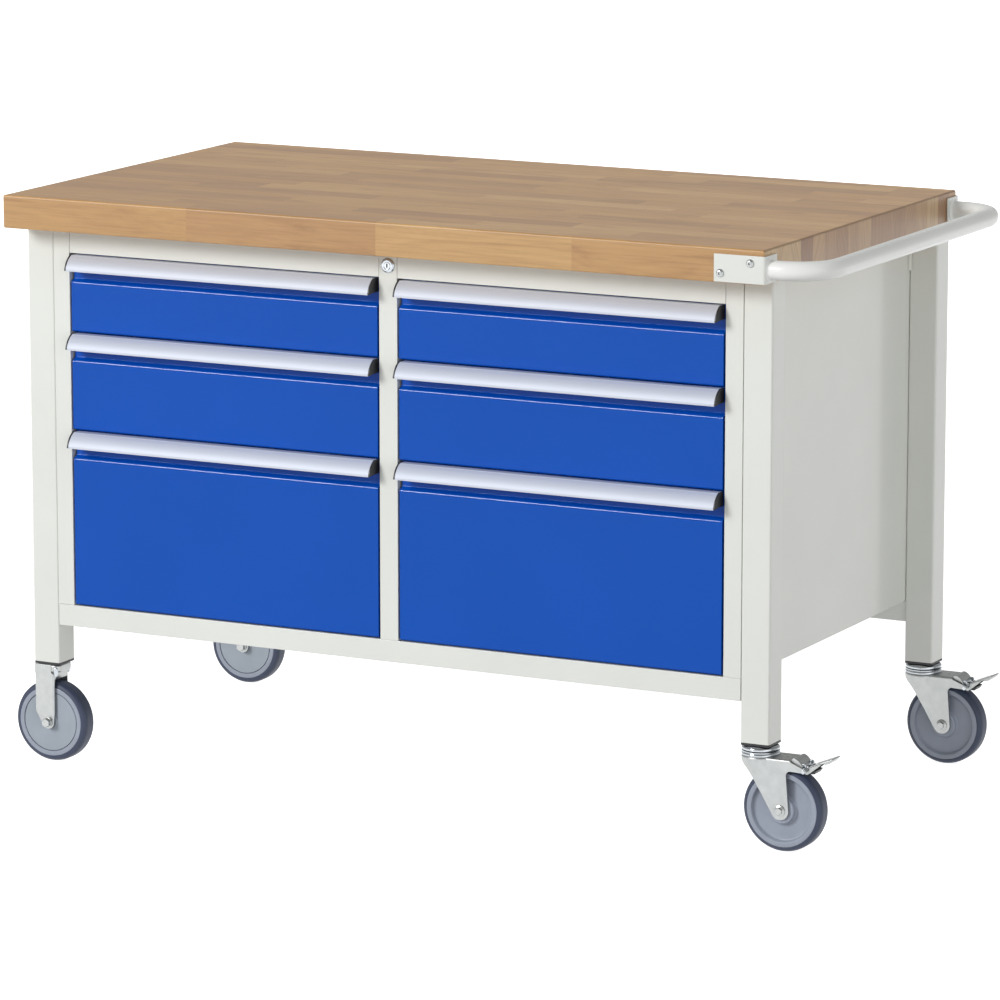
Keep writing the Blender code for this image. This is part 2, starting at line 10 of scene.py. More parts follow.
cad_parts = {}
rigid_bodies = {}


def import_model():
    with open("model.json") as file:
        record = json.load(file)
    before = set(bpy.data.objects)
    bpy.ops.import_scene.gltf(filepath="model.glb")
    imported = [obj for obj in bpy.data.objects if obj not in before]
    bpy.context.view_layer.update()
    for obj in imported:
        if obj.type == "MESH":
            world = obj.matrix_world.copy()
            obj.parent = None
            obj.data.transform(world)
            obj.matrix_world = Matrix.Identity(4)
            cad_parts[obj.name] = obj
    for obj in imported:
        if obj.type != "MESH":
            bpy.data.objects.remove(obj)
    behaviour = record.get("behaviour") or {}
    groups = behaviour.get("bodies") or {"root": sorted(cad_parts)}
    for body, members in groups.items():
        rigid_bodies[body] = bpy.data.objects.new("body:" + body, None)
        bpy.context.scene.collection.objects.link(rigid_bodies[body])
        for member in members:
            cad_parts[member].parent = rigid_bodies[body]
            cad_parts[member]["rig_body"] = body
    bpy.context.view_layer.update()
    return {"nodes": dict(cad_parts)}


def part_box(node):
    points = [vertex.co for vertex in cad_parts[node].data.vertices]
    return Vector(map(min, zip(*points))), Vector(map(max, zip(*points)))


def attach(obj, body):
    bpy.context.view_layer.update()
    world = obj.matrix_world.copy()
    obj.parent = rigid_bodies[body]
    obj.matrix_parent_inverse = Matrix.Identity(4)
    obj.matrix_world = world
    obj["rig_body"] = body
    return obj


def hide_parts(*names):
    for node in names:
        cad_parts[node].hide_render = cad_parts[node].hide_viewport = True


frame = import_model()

# Bench coordinates run from the worktop's front-left corner, in metres, and Z from the floor.
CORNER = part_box("worktop")[0]
BENCH = Vector((CORNER.x, CORNER.y, 0.0))

# Sheet metal, and how far two shown pieces stand apart where they would share a face
SHEET = 0.0015
SHEET_BEND = 0.0034
EDGE_ROUND = 0.0005
HAIR = 0.00005

# Drawer fronts, measured down from the top of the front's opening, and the flanges behind them
FRONT_RETURN = 0.012
FACE_TOP_DROP = 0.0435
RECESS_DROP = 0.0395
RECESS_DEPTH = 0.008
FRONT_TOP_GAP = 0.0015
GLOSSY_BEND_DEPTH = 0.004

# Handles: an extrusion measured from its front and top, and the caps on its two ends
HANDLE_WALL = 0.0020
HANDLE_REACH = 0.0077
HANDLE_ARC_RADIUS = 0.0312
HANDLE_ARC_CENTRE = (0.0073, -0.0282)
HANDLE_ARC_DEGREES = (115.0, 163.0)
HANDLE_FLANGE_DROP = 0.0210
HANDLE_LIP_DROP = 0.0223
HANDLE_LIP = 0.0003
GROOVE_DEPTH = 0.00045
CAP_THICKNESS = 0.0025
CAP_PROUD = 0.0004
CAP_RETURN = (0.012, 0.0012)

# Trays: the rail on each side, and the rim folded inwards along its top
RAIL_RISE = 0.0210
RAIL_HEIGHT = 0.036
RAIL_SPAN = (0.0012, 0.0100)
RAIL_ENDS = (0.012, 0.004)
RIM_WIDTH = 0.007
RIM_LAP = 0.0004
RIM_DROP = 0.0060
RIM_SHEET = 0.0010

# Panel tab: its outline from the rear leg's front face, and how far it stands out
TAB = (-0.0075, 0.760, -0.0005, 0.786)
TAB_ROUND = 0.003
TAB_SUNK = 0.0002
TAB_PROUD = 0.0045

# Lock
KEYWAY_HALF = (0.0011, 0.0030)
KEYWAY_DEPTH = (0.0035, 0.0050)
PLUG_RADIUS = 0.0050
COLLAR_BORE = 0.00508
COLLAR_DEPTH = 0.0027
COLLAR_NECK = 0.86

# Push bar, its welds and its bracket screws, placed from the worktop's front-left corner
BAR_BEND = 0.060
BAR_WALL = 0.0020
BEND_STEPS = 20
WELD = 0.0036
WELD_LAP = 0.0004
BRACKET_SCREWS = ((1.2298, 0.8609), (1.1836, 0.8442))
SCREW_RADIUS = 0.006
SCREW_HEIGHT = 0.0032
SCREW_SOCKET = 0.0040
SOCKET_DEPTH = 0.0022

# Casters
HALF_FORK = 0.022
FORK_SHEET = 0.003
FORK_CREASE = 0.018
FORK_REACH = 0.046
CROWN_RADIUS = 0.028
CROWN_TOP = 0.1386
AXLE_RADIUS = 0.006
FIXED_FOLD = 0.0110
FIXED_REACH = 0.0300
FIXED_EYE = 0.0103
FOLD_ROUND = 0.0032
TREAD_SIDE = 0.0146
TREAD_ROUND = (0.0075, 0.0090)
PEDAL_HALF = 0.0145
PEDAL_SHEET = 0.0022
EAR_PIN = (0.0740, 0.1300)
BRAKE_PIN = (0.0760, 0.1235)

# Camera: where it stands in bench coordinates, and its turn and tilt in degrees
CAMERA_PLACE = Vector((4.4663, -7.1285, 2.0427))
CAMERA_TURN = 26.992
CAMERA_TILT = 10.994
CAMERA_LENS = 203.25
CAMERA_REACH = 200.0
SENSOR = 36.0

# Studio: a glowing floor, a white backdrop, the sky's levels with one brighter side, and two soft lights
FLOOR_HALF = 60.0
FLOOR_DROP = 0.0002
FLOOR_TONE = 0.82
FLOOR_GLOW = 0.86
BACKDROP_RADIUS = 58.0
SKY_HORIZON = 0.64
SKY_OVERHEAD = 0.20
SKY_BELOW = 0.30
BRIGHT_SIDE = (0.88, -0.47)
BRIGHT_EDGE = (0.80, 0.96)
BRIGHT_LEVEL = 3.1
LIGHT_TARGET = (0.0, 0.0, 0.5)
KEY_PLACE = (-5.5, -9.4, 5.4)
KEY_SIZE = 4.2
KEY_POWER = 840.0
BACK_PLACE = (-2.5, 10.5, 4.4)
BACK_SIZE = 4.0
BACK_POWER = 330.0


# Outlines: lists of (u, v) points in the plane across an axis


def arc(centre, radius, start, end, steps):
    """Points on a circle from one angle to another, in degrees, both ends included."""
    points = []
    for step in range(steps + 1):
        angle = math.radians(start + (end - start) * step / steps)
        points.append((centre[0] + radius * math.cos(angle), centre[1] + radius * math.sin(angle)))
    return points


def circle(radius, count=48, centre=(0.0, 0.0)):
    return arc(centre, radius, 0.0, 360.0, count)[:-1]


def rectangle(low_u, low_v, high_u, high_v):
    return [(low_u, low_v), (high_u, low_v), (high_u, high_v), (low_u, high_v)]


def rounded(points, radius, steps=5, closed=False):
    """The polyline with a fillet at each inner corner, no longer than its shorter side allows."""
    path = [Vector(point) for point in points]
    result = []
    for index, corner in enumerate(path):
        if not closed and index in (0, len(path) - 1):
            result.append(tuple(corner))
            continue
        before = path[index - 1] - corner
        after = path[(index + 1) % len(path)] - corner
        half = before.angle(after) / 2
        if half > math.radians(89.0):
            result.append(tuple(corner))
            continue
        reach = min(radius / math.tan(half), before.length * 0.48, after.length * 0.48)
        start = corner + before.normalized() * reach
        end = corner + after.normalized() * reach
        centre = corner + (before.normalized() + after.normalized()).normalized() * (reach / math.cos(half))
        first = start - centre
        sweep = first.angle_signed(end - centre)
        for step in range(steps + 1):
            turned_arm = Matrix.Rotation(-sweep * step / steps, 2) @ first
            result.append(tuple(centre + turned_arm))
    return result


def sheet_outline(path, thickness):
    """A folded sheet's closed outline: the path, and the path moved to its right, with mitred folds."""
    normals = []
    for (u0, v0), (u1, v1) in zip(path, path[1:]):
        length = math.hypot(u1 - u0, v1 - v0)
        normals.append(((v1 - v0) / length, (u0 - u1) / length))
    moved = []
    for index, (u, v) in enumerate(path):
        before = normals[max(index - 1, 0)]
        after = normals[min(index, len(normals) - 1)]
        mitre = 1 + before[0] * after[0] + before[1] * after[1]
        shift_u = (before[0] + after[0]) / mitre
        shift_v = (before[1] + after[1]) / mitre
        moved.append((u + thickness * shift_u, v + thickness * shift_v))
    return list(path) + moved[::-1]


def hexagon(across_flats, count=24):
    """A hexagon drawn with as many points as a circle, so that the two can be joined."""
    points = []
    for index in range(count):
        angle = 2 * math.pi * index / count
        off_flat = (angle + math.pi / 6) % (math.pi / 3) - math.pi / 6
        radius = across_flats / 2 / math.cos(off_flat)
        points.append((radius * math.cos(angle), radius * math.sin(angle)))
    return points


# Meshes


def in_space(u, v, along, axis):
    if axis == "X":
        return (along, u, v)
    if axis == "Y":
        return (u, along, v)
    return (u, v, along)


def add_loft(mesh, sections, axis, ring=False):
    loops = []
    for outline, along in sections:
        loops.append([mesh.verts.new(in_space(u, v, along, axis)) for u, v in outline])
    pairs = list(zip(loops, loops[1:]))
    if ring:
        pairs.append((loops[-1], loops[0]))
    for first, second in pairs:
        for index in range(len(first)):
            following = (index + 1) % len(first)
            mesh.faces.new((first[index], first[following], second[following], second[index]))
    if not ring:
        mesh.faces.new(loops[0])
        mesh.faces.new(loops[-1])
    return mesh


def loft(sections, axis, ring=False):
    return add_loft(bmesh.new(), sections, axis, ring)


def prism(outline, axis, start, end):
    return loft([(outline, start), (outline, end)], axis)


def turned(profile, axis, count=64, ring=False):
    """Mesh turned about the axis, from (radius, place along it) pairs."""
    return loft([(circle(radius, count), along) for radius, along in profile], axis, ring)


def new_object(name, mesh_data, location=(0.0, 0.0, 0.0)):
    bmesh.ops.recalc_face_normals(mesh_data, faces=mesh_data.faces)
    mesh = bpy.data.meshes.new(name)
    mesh_data.to_mesh(mesh)
    mesh_data.free()
    obj = bpy.data.objects.new(name, mesh)
    bpy.context.scene.collection.objects.link(obj)
    obj.location = location
    return obj


def apply_modifiers(obj):
    graph = bpy.context.evaluated_depsgraph_get()
    graph.update()
    mesh = bpy.data.meshes.new_from_object(obj.evaluated_get(graph))
    obj.modifiers.clear()
    old = obj.data
    obj.data = mesh
    bpy.data.meshes.remove(old)


def combine(obj, tool_mesh, operation):
    """Cuts, adds or intersects a shape given in the object's own coordinates, and keeps the result."""
    tool = new_object("tool", tool_mesh, obj.location)
    modifier = obj.modifiers.new("combine", "BOOLEAN")
    modifier.operation = operation
    modifier.object = tool
    apply_modifiers(obj)
    bpy.data.objects.remove(tool)


def soften(obj, width, segments=2, angle=40.0):
    """Rounds the sharp edges of an object by a bevel of the given width, and keeps its large faces flat."""
    if width > 0:
        bevel = obj.modifiers.new("rounded_edges", "BEVEL")
        bevel.width = width
        bevel.segments = segments
        bevel.limit_method = "ANGLE"
        bevel.angle_limit = math.radians(angle)
        apply_modifiers(obj)
    obj.data.shade_smooth()
    obj.data.set_sharp_from_angle(angle=math.radians(angle))
    flat = obj.modifiers.new("flat_faces", "WEIGHTED_NORMAL")
    flat.keep_sharp = True
    apply_modifiers(obj)


def finish(obj, slot, body, replaced=(), edge=EDGE_ROUND, segments=2, angle=40.0):
    """Rounds a piece, gives it its material and its body, and hides the CAD nodes it stands for."""
    soften(obj, edge, segments, angle)
    obj.data.materials.clear()
    obj.data.materials.append(MATERIALS[slot])
    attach(obj, body)
    if replaced:
        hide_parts(*replaced)
    return obj


def body_of(node):
    return frame["nodes"][node]["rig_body"]


def from_cad(node, slot, edge=EDGE_ROUND, segments=2, angle=50.0):
    """A CAD node's own shape with its sharp edges rounded."""
    mesh = bmesh.new()
    mesh.from_mesh(frame["nodes"][node].data)
    bmesh.ops.remove_doubles(mesh, verts=mesh.verts, dist=0.00001)
    bmesh.ops.dissolve_limit(mesh, angle_limit=math.radians(0.5), verts=mesh.verts, edges=mesh.edges)
    obj = new_object(f"{node}_shape", mesh)
    return finish(obj, slot, body_of(node), (node,), edge, segments, angle)


# Materials


def add_node(tree, kind, inputs=None, **settings):
    """A shader node with its settings, and its inputs given as values or as other nodes' outputs."""
    node = tree.nodes.new(kind)
    for name, value in settings.items():
        setattr(node, name, value)
    for name, value in (inputs or {}).items():
        if isinstance(value, bpy.types.NodeSocket):
            tree.links.new(value, node.inputs[name])
        else:
            node.inputs[name].default_value = value
    return node


def calculate(tree, operation, first, second=None, third=None):
    inputs = {0: first}
    if second is not None:
        inputs[1] = second
    if third is not None:
        inputs[2] = third
    return add_node(tree, "ShaderNodeMath", inputs, operation=operation).outputs[0]


def start_material(name, **sockets):
    """A material with a Principled shader, whose constants are set on its own sockets."""
    material = bpy.data.materials.new(name)
    material.use_nodes = True
    tree = material.node_tree
    shader = tree.nodes["Principled BSDF"]
    for socket, value in sockets.items():
        shader.inputs[socket.replace("_", " ")].default_value = value
    place = tree.nodes.new("ShaderNodeTexCoord").outputs["Object"]
    return material, tree, shader, place


def noise(tree, vector, scale, detail=2.0, roughness=0.5, stretch=None):
    if stretch is not None:
        vector = add_node(
            tree, "ShaderNodeMapping", {"Vector": vector, "Scale": stretch}
        ).outputs[0]
    inputs = {"Vector": vector, "Scale": scale, "Detail": detail, "Roughness": roughness}
    return add_node(tree, "ShaderNodeTexNoise", inputs).outputs["Fac"]


def ramp(tree, factor, stops):
    node = add_node(tree, "ShaderNodeValToRGB", {"Fac": factor})
    elements = node.color_ramp.elements
    while len(elements) < len(stops):
        elements.new(0.5)
    for element, (position, colour) in zip(elements, stops):
        element.position = position
        element.color = (*colour, 1.0)
    return node.outputs["Color"]


def mix_colour(tree, factor, first, second, blend="MIX"):
    node = tree.nodes.new("ShaderNodeMix")
    node.data_type = "RGBA"
    node.blend_type = blend
    for index, value in ((0, factor), (6, first), (7, second)):
        if isinstance(value, bpy.types.NodeSocket):
            tree.links.new(value, node.inputs[index])
        elif index == 0:
            node.inputs[index].default_value = value
        else:
            node.inputs[index].default_value = (*value, 1.0)
    return node.outputs[2]


def add_bump(tree, shader, height, distance, strength=1.0):
    bump = add_node(tree, "ShaderNodeBump", {"Height": height, "Distance": distance, "Strength": strength})
    tree.links.new(bump.outputs[0], shader.inputs["Normal"])


def spread(tree, factor, low, high):
    """A factor of 0 to 1 turned into a range."""
    return add_node(
        tree, "ShaderNodeMapRange", {"Value": factor, "To Min": low, "To Max": high}
    ).outputs[0]


def scaled(colour, by):
    return tuple(channel * by for channel in colour)


def powder_coat(name, colour, roughness, peel=0.00002, gloss=0.4, coat=0.5, bend_y=None):
    """Powder-coated steel: fine orange peel and faint cloudiness; bends in front of bend_y are glossier."""
    material, tree, shader, place = start_material(
        name, Specular_IOR_Level=gloss, Coat_Weight=coat, Coat_Roughness=0.12
    )
    cloud = noise(tree, place, 6.0, 3.0)
    colours = ramp(tree, cloud, ((0.3, scaled(colour, 0.975)), (0.7, scaled(colour, 1.02))))
    tree.links.new(colours, shader.inputs["Base Color"])
    fine = noise(tree, place, 420.0, 2.0)
    tree.links.new(spread(tree, fine, roughness - 0.05, roughness + 0.05), shader.inputs["Roughness"])
    add_bump(tree, shader, fine, peel)
    if bend_y is not None:
        normal = tree.nodes["Texture Coordinate"].outputs["Normal"]
        up = add_node(tree, "ShaderNodeSeparateXYZ", {"Vector": normal}).outputs[2]
        black, white = (0.0, 0.0, 0.0), (1.0, 1.0, 1.0)
        bend = ramp(tree, up, ((0.12, black), (0.30, white), (0.72, white), (0.86, black)))
        y = add_node(tree, "ShaderNodeSeparateXYZ", {"Vector": place}).outputs[1]
        bend = calculate(tree, "MULTIPLY", bend, calculate(tree, "LESS_THAN", y, bend_y))
        weight = calculate(tree, "MULTIPLY_ADD", bend, 1.0 - coat, coat)
        tree.links.new(weight, shader.inputs["Coat Weight"])
    return material


def anodised_aluminium(name):
    """Extruded, satin-etched and anodised: fine lines along X."""
    material, tree, shader, place = start_material(name, Metallic=0.12)
    lines = noise(tree, place, 1.0, 3.0, 0.6, (6.0, 1500.0, 1500.0))
    cloud = noise(tree, place, 14.0, 2.0, 0.5, (1.0, 8.0, 8.0))
    tone = mix_colour(tree, 0.5, ramp(tree, lines, ((0.3, (0.56, 0.60, 0.69)), (0.7, (0.63, 0.67, 0.76)))),
                      ramp(tree, cloud, ((0.2, (0.58, 0.62, 0.71)), (0.8, (0.61, 0.65, 0.74)))))
    tree.links.new(tone, shader.inputs["Base Color"])
    tree.links.new(spread(tree, lines, 0.46, 0.56), shader.inputs["Roughness"])
    add_bump(tree, shader, lines, 0.000006)
    return material


def zinc_plate(name, colour, roughness):
    """Zinc-plated pressed steel: a faint patchy gloss, and the press's fine scratches."""
    material, tree, shader, place = start_material(name, Metallic=1.0)
    patches = noise(tree, place, 60.0, 4.0, 0.6)
    tone = ramp(tree, patches, ((0.3, scaled(colour, 0.90)), (0.7, scaled(colour, 1.06))))
    tree.links.new(tone, shader.inputs["Base Color"])
    tree.links.new(spread(tree, patches, roughness - 0.09, roughness + 0.09), shader.inputs["Roughness"])
    scratches = noise(tree, place, 1.0, 2.0, 0.5, (700.0, 700.0, 90.0))
    add_bump(tree, shader, scratches, 0.00001)
    return material


def moulded(name, colour, roughness, grain=0.00002, scale=900.0):
    """Moulded plastic or rubber with a fine matt grain."""
    material, tree, shader, place = start_material(name)
    cloud = noise(tree, place, 25.0, 3.0)
    tone = ramp(tree, cloud, ((0.3, scaled(colour, 0.93)), (0.7, scaled(colour, 1.07))))
    tree.links.new(tone, shader.inputs["Base Color"])
    fine = noise(tree, place, scale, 2.0)
    tree.links.new(spread(tree, fine, roughness - 0.06, roughness + 0.06), shader.inputs["Roughness"])
    add_bump(tree, shader, fine, grain)
    return material


STAVE_WIDTH = 0.042
STAVE_LENGTH = 0.29
GLUE_LINE = 0.00035
STAVE_SHIFT = 17.3
TONE_SEED = 3.7
END_SEED = 0.37
GRAIN_SHIFT = (7.0, 7.0, 7.0)


def beech_staves(name):
    """Staves along X, each with its own tone and grain; their ends show as end grain."""
    material, tree, shader, place = start_material(
        name, Specular_IOR_Level=0.65, Coat_Weight=0.45, Coat_Roughness=0.42
    )
    axes = add_node(tree, "ShaderNodeSeparateXYZ", {"Vector": place})
    x, y, z = axes.outputs
    across = calculate(tree, "DIVIDE", calculate(tree, "SUBTRACT", y, CORNER.y), STAVE_WIDTH)
    row = calculate(tree, "FLOOR", across)
    row_noise = add_node(
        tree, "ShaderNodeTexWhiteNoise", {"W": row}, noise_dimensions="1D"
    ).outputs["Value"]
    length = spread(tree, row_noise, STAVE_LENGTH * 0.8, STAVE_LENGTH * 1.3)
    along = calculate(tree, "MULTIPLY_ADD", row_noise, STAVE_SHIFT, calculate(tree, "DIVIDE", x, length))
    stave = calculate(tree, "FLOOR", along)
    cell = add_node(tree, "ShaderNodeCombineXYZ", {"X": row, "Y": stave, "Z": TONE_SEED}).outputs[0]
    chance = add_node(tree, "ShaderNodeTexWhiteNoise", {"Vector": cell}, noise_dimensions="3D")
    tone = ramp(tree, chance.outputs["Value"], (
        (0.00, (0.505, 0.258, 0.088)),
        (0.25, (0.595, 0.318, 0.098)),
        (0.70, (0.665, 0.372, 0.118)),
        (1.00, (0.715, 0.430, 0.160)),
    ))
    shift = add_node(
        tree, "ShaderNodeVectorMath", {0: chance.outputs["Color"], 1: GRAIN_SHIFT}, operation="MULTIPLY"
    ).outputs[0]
    own_place = add_node(tree, "ShaderNodeVectorMath", {0: place, 1: shift}, operation="ADD").outputs[0]

    # Broad wavy figure, fine grain and short dark rays
    drawn_out = add_node(
        tree, "ShaderNodeMapping", {"Vector": own_place, "Scale": (4.0, 34.0, 34.0)}
    ).outputs[0]
    figure = add_node(
        tree, "ShaderNodeTexNoise",
        {"Vector": drawn_out, "Scale": 1.0, "Detail": 4.0, "Roughness": 0.6, "Distortion": 2.2},
    ).outputs["Fac"]
    tone = mix_colour(tree, 0.85, tone, ramp(tree, figure, (
        (0.28, (0.76, 0.66, 0.52)),
        (0.46, (0.97, 0.95, 0.92)),
        (0.58, (1.04, 1.05, 1.06)),
        (0.74, (1.14, 1.16, 1.20)),
    )), "MULTIPLY")
    grain = noise(tree, own_place, 1.0, 5.0, 0.65, (10.0, 300.0, 300.0))
    tone = mix_colour(tree, 0.75, tone, ramp(tree, grain, (
        (0.30, (0.74, 0.67, 0.57)),
        (0.52, (1.0, 1.0, 1.0)),
    )), "MULTIPLY")
    flecks = noise(tree, own_place, 1.0, 1.0, 0.5, (220.0, 1300.0, 1300.0))
    tone = mix_colour(tree, 0.30, tone, ramp(tree, flecks, (
        (0.66, (1.0, 1.0, 1.0)),
        (0.72, (0.70, 0.58, 0.46)),
    )), "MULTIPLY")

    # End grain: each stave's rings cross its end as slanting streaks
    ends = ramp(tree, add_node(
        tree, "ShaderNodeTexWhiteNoise", {"W": calculate(tree, "ADD", row, END_SEED)}, noise_dimensions="1D"
    ).outputs["Value"], (
        (0.0, (0.265, 0.117, 0.042)),
        (0.3, (0.385, 0.200, 0.077)),
        (0.7, (0.459, 0.263, 0.109)),
        (1.0, (0.600, 0.410, 0.200)),
    ))
    slant = calculate(tree, "MULTIPLY", calculate(tree, "SUBTRACT", row_noise, 0.5), 1.1)
    leaning = calculate(tree, "MULTIPLY_ADD", z, slant, y)
    end_place = add_node(tree, "ShaderNodeCombineXYZ", {"X": row_noise, "Y": leaning, "Z": z}).outputs[0]
    rings = noise(tree, end_place, 1.0, 3.0, 0.6, (40.0, 170.0, 9.0))
    ends = mix_colour(tree, 0.85, ends, ramp(tree, rings, (
        (0.30, (0.72, 0.62, 0.53)),
        (0.52, (1.0, 1.0, 1.0)),
        (0.72, (1.12, 1.12, 1.12)),
    )), "MULTIPLY")
    normal = add_node(
        tree, "ShaderNodeSeparateXYZ", {"Vector": tree.nodes["Texture Coordinate"].outputs["Normal"]}
    )
    facing_end = calculate(tree, "GREATER_THAN", calculate(tree, "ABSOLUTE", normal.outputs[0]), 0.7)
    tone = mix_colour(tree, facing_end, tone, ends)

    # Glue lines between rows and between the ends of staves
    row_gap = calculate(tree, "PINGPONG", across, 0.5)
    row_line = calculate(tree, "LESS_THAN", row_gap, GLUE_LINE / STAVE_WIDTH)
    end_gap = calculate(tree, "MULTIPLY", calculate(tree, "PINGPONG", along, 0.5), length)
    end_line = calculate(tree, "LESS_THAN", end_gap, GLUE_LINE)
    end_line = calculate(tree, "MULTIPLY", end_line, calculate(tree, "SUBTRACT", 1.0, facing_end))
    line = calculate(tree, "MAXIMUM", row_line, end_line)
    tone = mix_colour(tree, calculate(tree, "MULTIPLY", line, 0.30), tone, (0.15, 0.085, 0.045))

    # The rounded edge across the ends of the staves is a little darker.
    lean = calculate(tree, "MULTIPLY", calculate(tree, "ABSOLUTE", normal.outputs[0]), normal.outputs[2])
    arris = calculate(tree, "GREATER_THAN", lean, 0.12)
    tone = mix_colour(tree, calculate(tree, "MULTIPLY", arris, 0.45), tone, (0.22, 0.12, 0.05))
    tree.links.new(tone, shader.inputs["Base Color"])
    tree.links.new(spread(tree, grain, 0.33, 0.47), shader.inputs["Roughness"])
    relief = calculate(tree, "SUBTRACT", calculate(tree, "MULTIPLY", grain, 0.5), line)
    add_bump(tree, shader, relief, 0.00005)
    return material


GREY = (0.785, 0.800, 0.757)
# The push bar's paint is the frame's grey made lighter: painted light, standing in for the light the bar
# catches.
BAR_GREY_PAINTED_LIGHTER = (0.930, 0.940, 0.910)
BEND_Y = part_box("drawer_top_left_front")[0].y + GLOSSY_BEND_DEPTH
BLUE = (0.0020, 0.0850, 0.4950)

MATERIALS = {
    "beech": beech_staves("beech"),
    "grey_paint": powder_coat("grey_paint", GREY, 0.38),
    "bar_paint_with_painted_light": powder_coat("bar_paint_with_painted_light", BAR_GREY_PAINTED_LIGHTER, 0.34),
    "blue_paint": powder_coat("blue_paint", BLUE, 0.36, gloss=0.0, coat=0.28, bend_y=BEND_Y),
    "aluminium": anodised_aluminium("aluminium"),
    "zinc": zinc_plate("zinc", (0.445, 0.46, 0.455), 0.36),
    "race_steel": zinc_plate("race_steel", (0.52, 0.55, 0.58), 0.16),
    "bright_steel": zinc_plate("bright_steel", (0.80, 0.80, 0.80), 0.22),
    "black_plastic": moulded("black_plastic", (0.018, 0.019, 0.022), 0.42),
    "tyre": moulded("tyre", (0.034, 0.046, 0.088), 0.48, 0.00003, 500.0),
    "rim_cover": moulded("rim_cover", (0.340, 0.385, 0.440), 0.42),
    "rim": moulded("rim", (0.320, 0.355, 0.430), 0.38),
}


# Worktop, legs and cabinet


def build_frame():
    from_cad("worktop", "beech", 0.0, angle=40.0)
    for end in ("front", "rear"):
        for side in ("left", "right"):
            from_cad(f"leg_{end}_{side}", "grey_paint", 0.0)
            from_cad(f"leg_plug_{end}_{side}", "black_plastic", 0.0005)
    for node in ("side_panel_left", "side_panel_right", "centre_divider", "top_rail_left", "top_rail_right",
                 "back_panel", "floor_panel"):
        from_cad(node, "grey_paint", 0.0006, 3)
    from_cad("bottom_rail", "grey_paint", 0.0009, 3)
    for name in ("left_outer", "left_inner", "right_inner", "right_outer"):
        from_cad(f"runners_{name}", "zinc", 0.0003, 2)
    # A small pressed tab at the top rear of each side panel, where it meets the leg.
    for side, sign in (("left", -1.0), ("right", 1.0)):
        low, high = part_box(f"side_panel_{side}")
        leg_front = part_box(f"leg_rear_{side}")[0].y
        face = high.x if sign > 0 else low.x
        outline = rounded(rectangle(*TAB), TAB_ROUND, 4, closed=True)
        tab = prism(outline, "X", -TAB_SUNK * sign, TAB_PROUD * sign)
        obj = new_object(f"panel_tab_{side}", tab, (face, leg_front, 0.0))
        finish(obj, "grey_paint", "root", (), 0.0015, 3)


# Drawers


def front_path(front, low, high):
    """The face from its folded bottom edge up to the recess behind the handle."""
    return (
        (front + FRONT_RETURN, low),
        (front, low),
        (front, high - FACE_TOP_DROP),
        (front + RECESS_DEPTH, high - RECESS_DROP),
        (front + RECESS_DEPTH, high),
    )


def build_drawer_front(name, body):
    low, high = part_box(f"{name}_front")
    drawer_top = high.z + FRONT_TOP_GAP
    path = list(front_path(low.y, low.z, drawer_top))
    path[-1] = (path[-1][0], high.z)
    mesh = prism(sheet_outline(rounded(path, SHEET_BEND, 6), SHEET), "X", low.x, high.x)
    # Folded flanges close the two ends behind the face.
    inside = [(y + SHEET * 0.9, z) for y, z in rounded(path, SHEET_BEND, 6)]
    flange = inside + [(low.y + FRONT_RETURN, high.z)]
    for start, end in ((low.x + SHEET, low.x + 2 * SHEET), (high.x - 2 * SHEET, high.x - SHEET)):
        add_loft(mesh, [(flange, start), (flange, end)], "X")
    front = new_object(f"{name}_front_panel", mesh)
    finish(front, "blue_paint", body, (f"{name}_front",), 0.00025, 2)


def handle_path(flange_y, top, groove=True):
    """The extrusion's outer line: flange, flat top, quarter round with a fine groove, and lip."""
    front = flange_y - HANDLE_REACH
    centre = (front + HANDLE_ARC_CENTRE[0], top + HANDLE_ARC_CENTRE[1])
    start, end = HANDLE_ARC_DEGREES
    points = [(flange_y, top - HANDLE_FLANGE_DROP), (flange_y, top)]
    curve = arc(centre, HANDLE_ARC_RADIUS, start, end, 20)
    if groove:
        for step, cut in ((1, 0.0), (2, GROOVE_DEPTH), (3, GROOVE_DEPTH), (4, 0.0)):
            angle = math.radians(start + (end - start) * (0.02 + 0.02 * step))
            curve[step] = (
                centre[0] + (HANDLE_ARC_RADIUS - cut) * math.cos(angle),
                centre[1] + (HANDLE_ARC_RADIUS - cut) * math.sin(angle),
            )
    points += curve
    tip = curve[-1][0]
    points.append((tip - HANDLE_LIP, curve[-1][1] - HANDLE_LIP))
    points.append((tip - HANDLE_LIP, top - HANDLE_LIP_DROP))
    return points


def build_handle(name, body):
    """The extruded handle along the whole front, with a moulded cap on each end."""
    low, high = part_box(f"{name}_handle")
    path = handle_path(high.y, high.z)
    outline = sheet_outline(path, -HANDLE_WALL)
    handle = new_object(f"{name}_handle_profile", prism(outline, "X", low.x, high.x))
    finish(handle, "aluminium", body, (f"{name}_handle",), 0.00015, 2, 50.0)
    cap_line = handle_path(high.y, high.z + CAP_PROUD, groove=False)
    cap_line = [(y - CAP_PROUD * (y < high.y), z) for y, z in cap_line]
    cap_outline = cap_line + [(cap_line[-1][0] + CAP_RETURN[0], cap_line[-1][1] + CAP_RETURN[1])]
    for side, start, end in (
        ("left", low.x - CAP_THICKNESS, low.x - HAIR),
        ("right", high.x + HAIR, high.x + CAP_THICKNESS),
    ):
        cap = new_object(f"{name}_handle_cap_{side}", prism(cap_outline, "X", start, end))
        finish(cap, "black_plastic", body, (), 0.0004, 2)


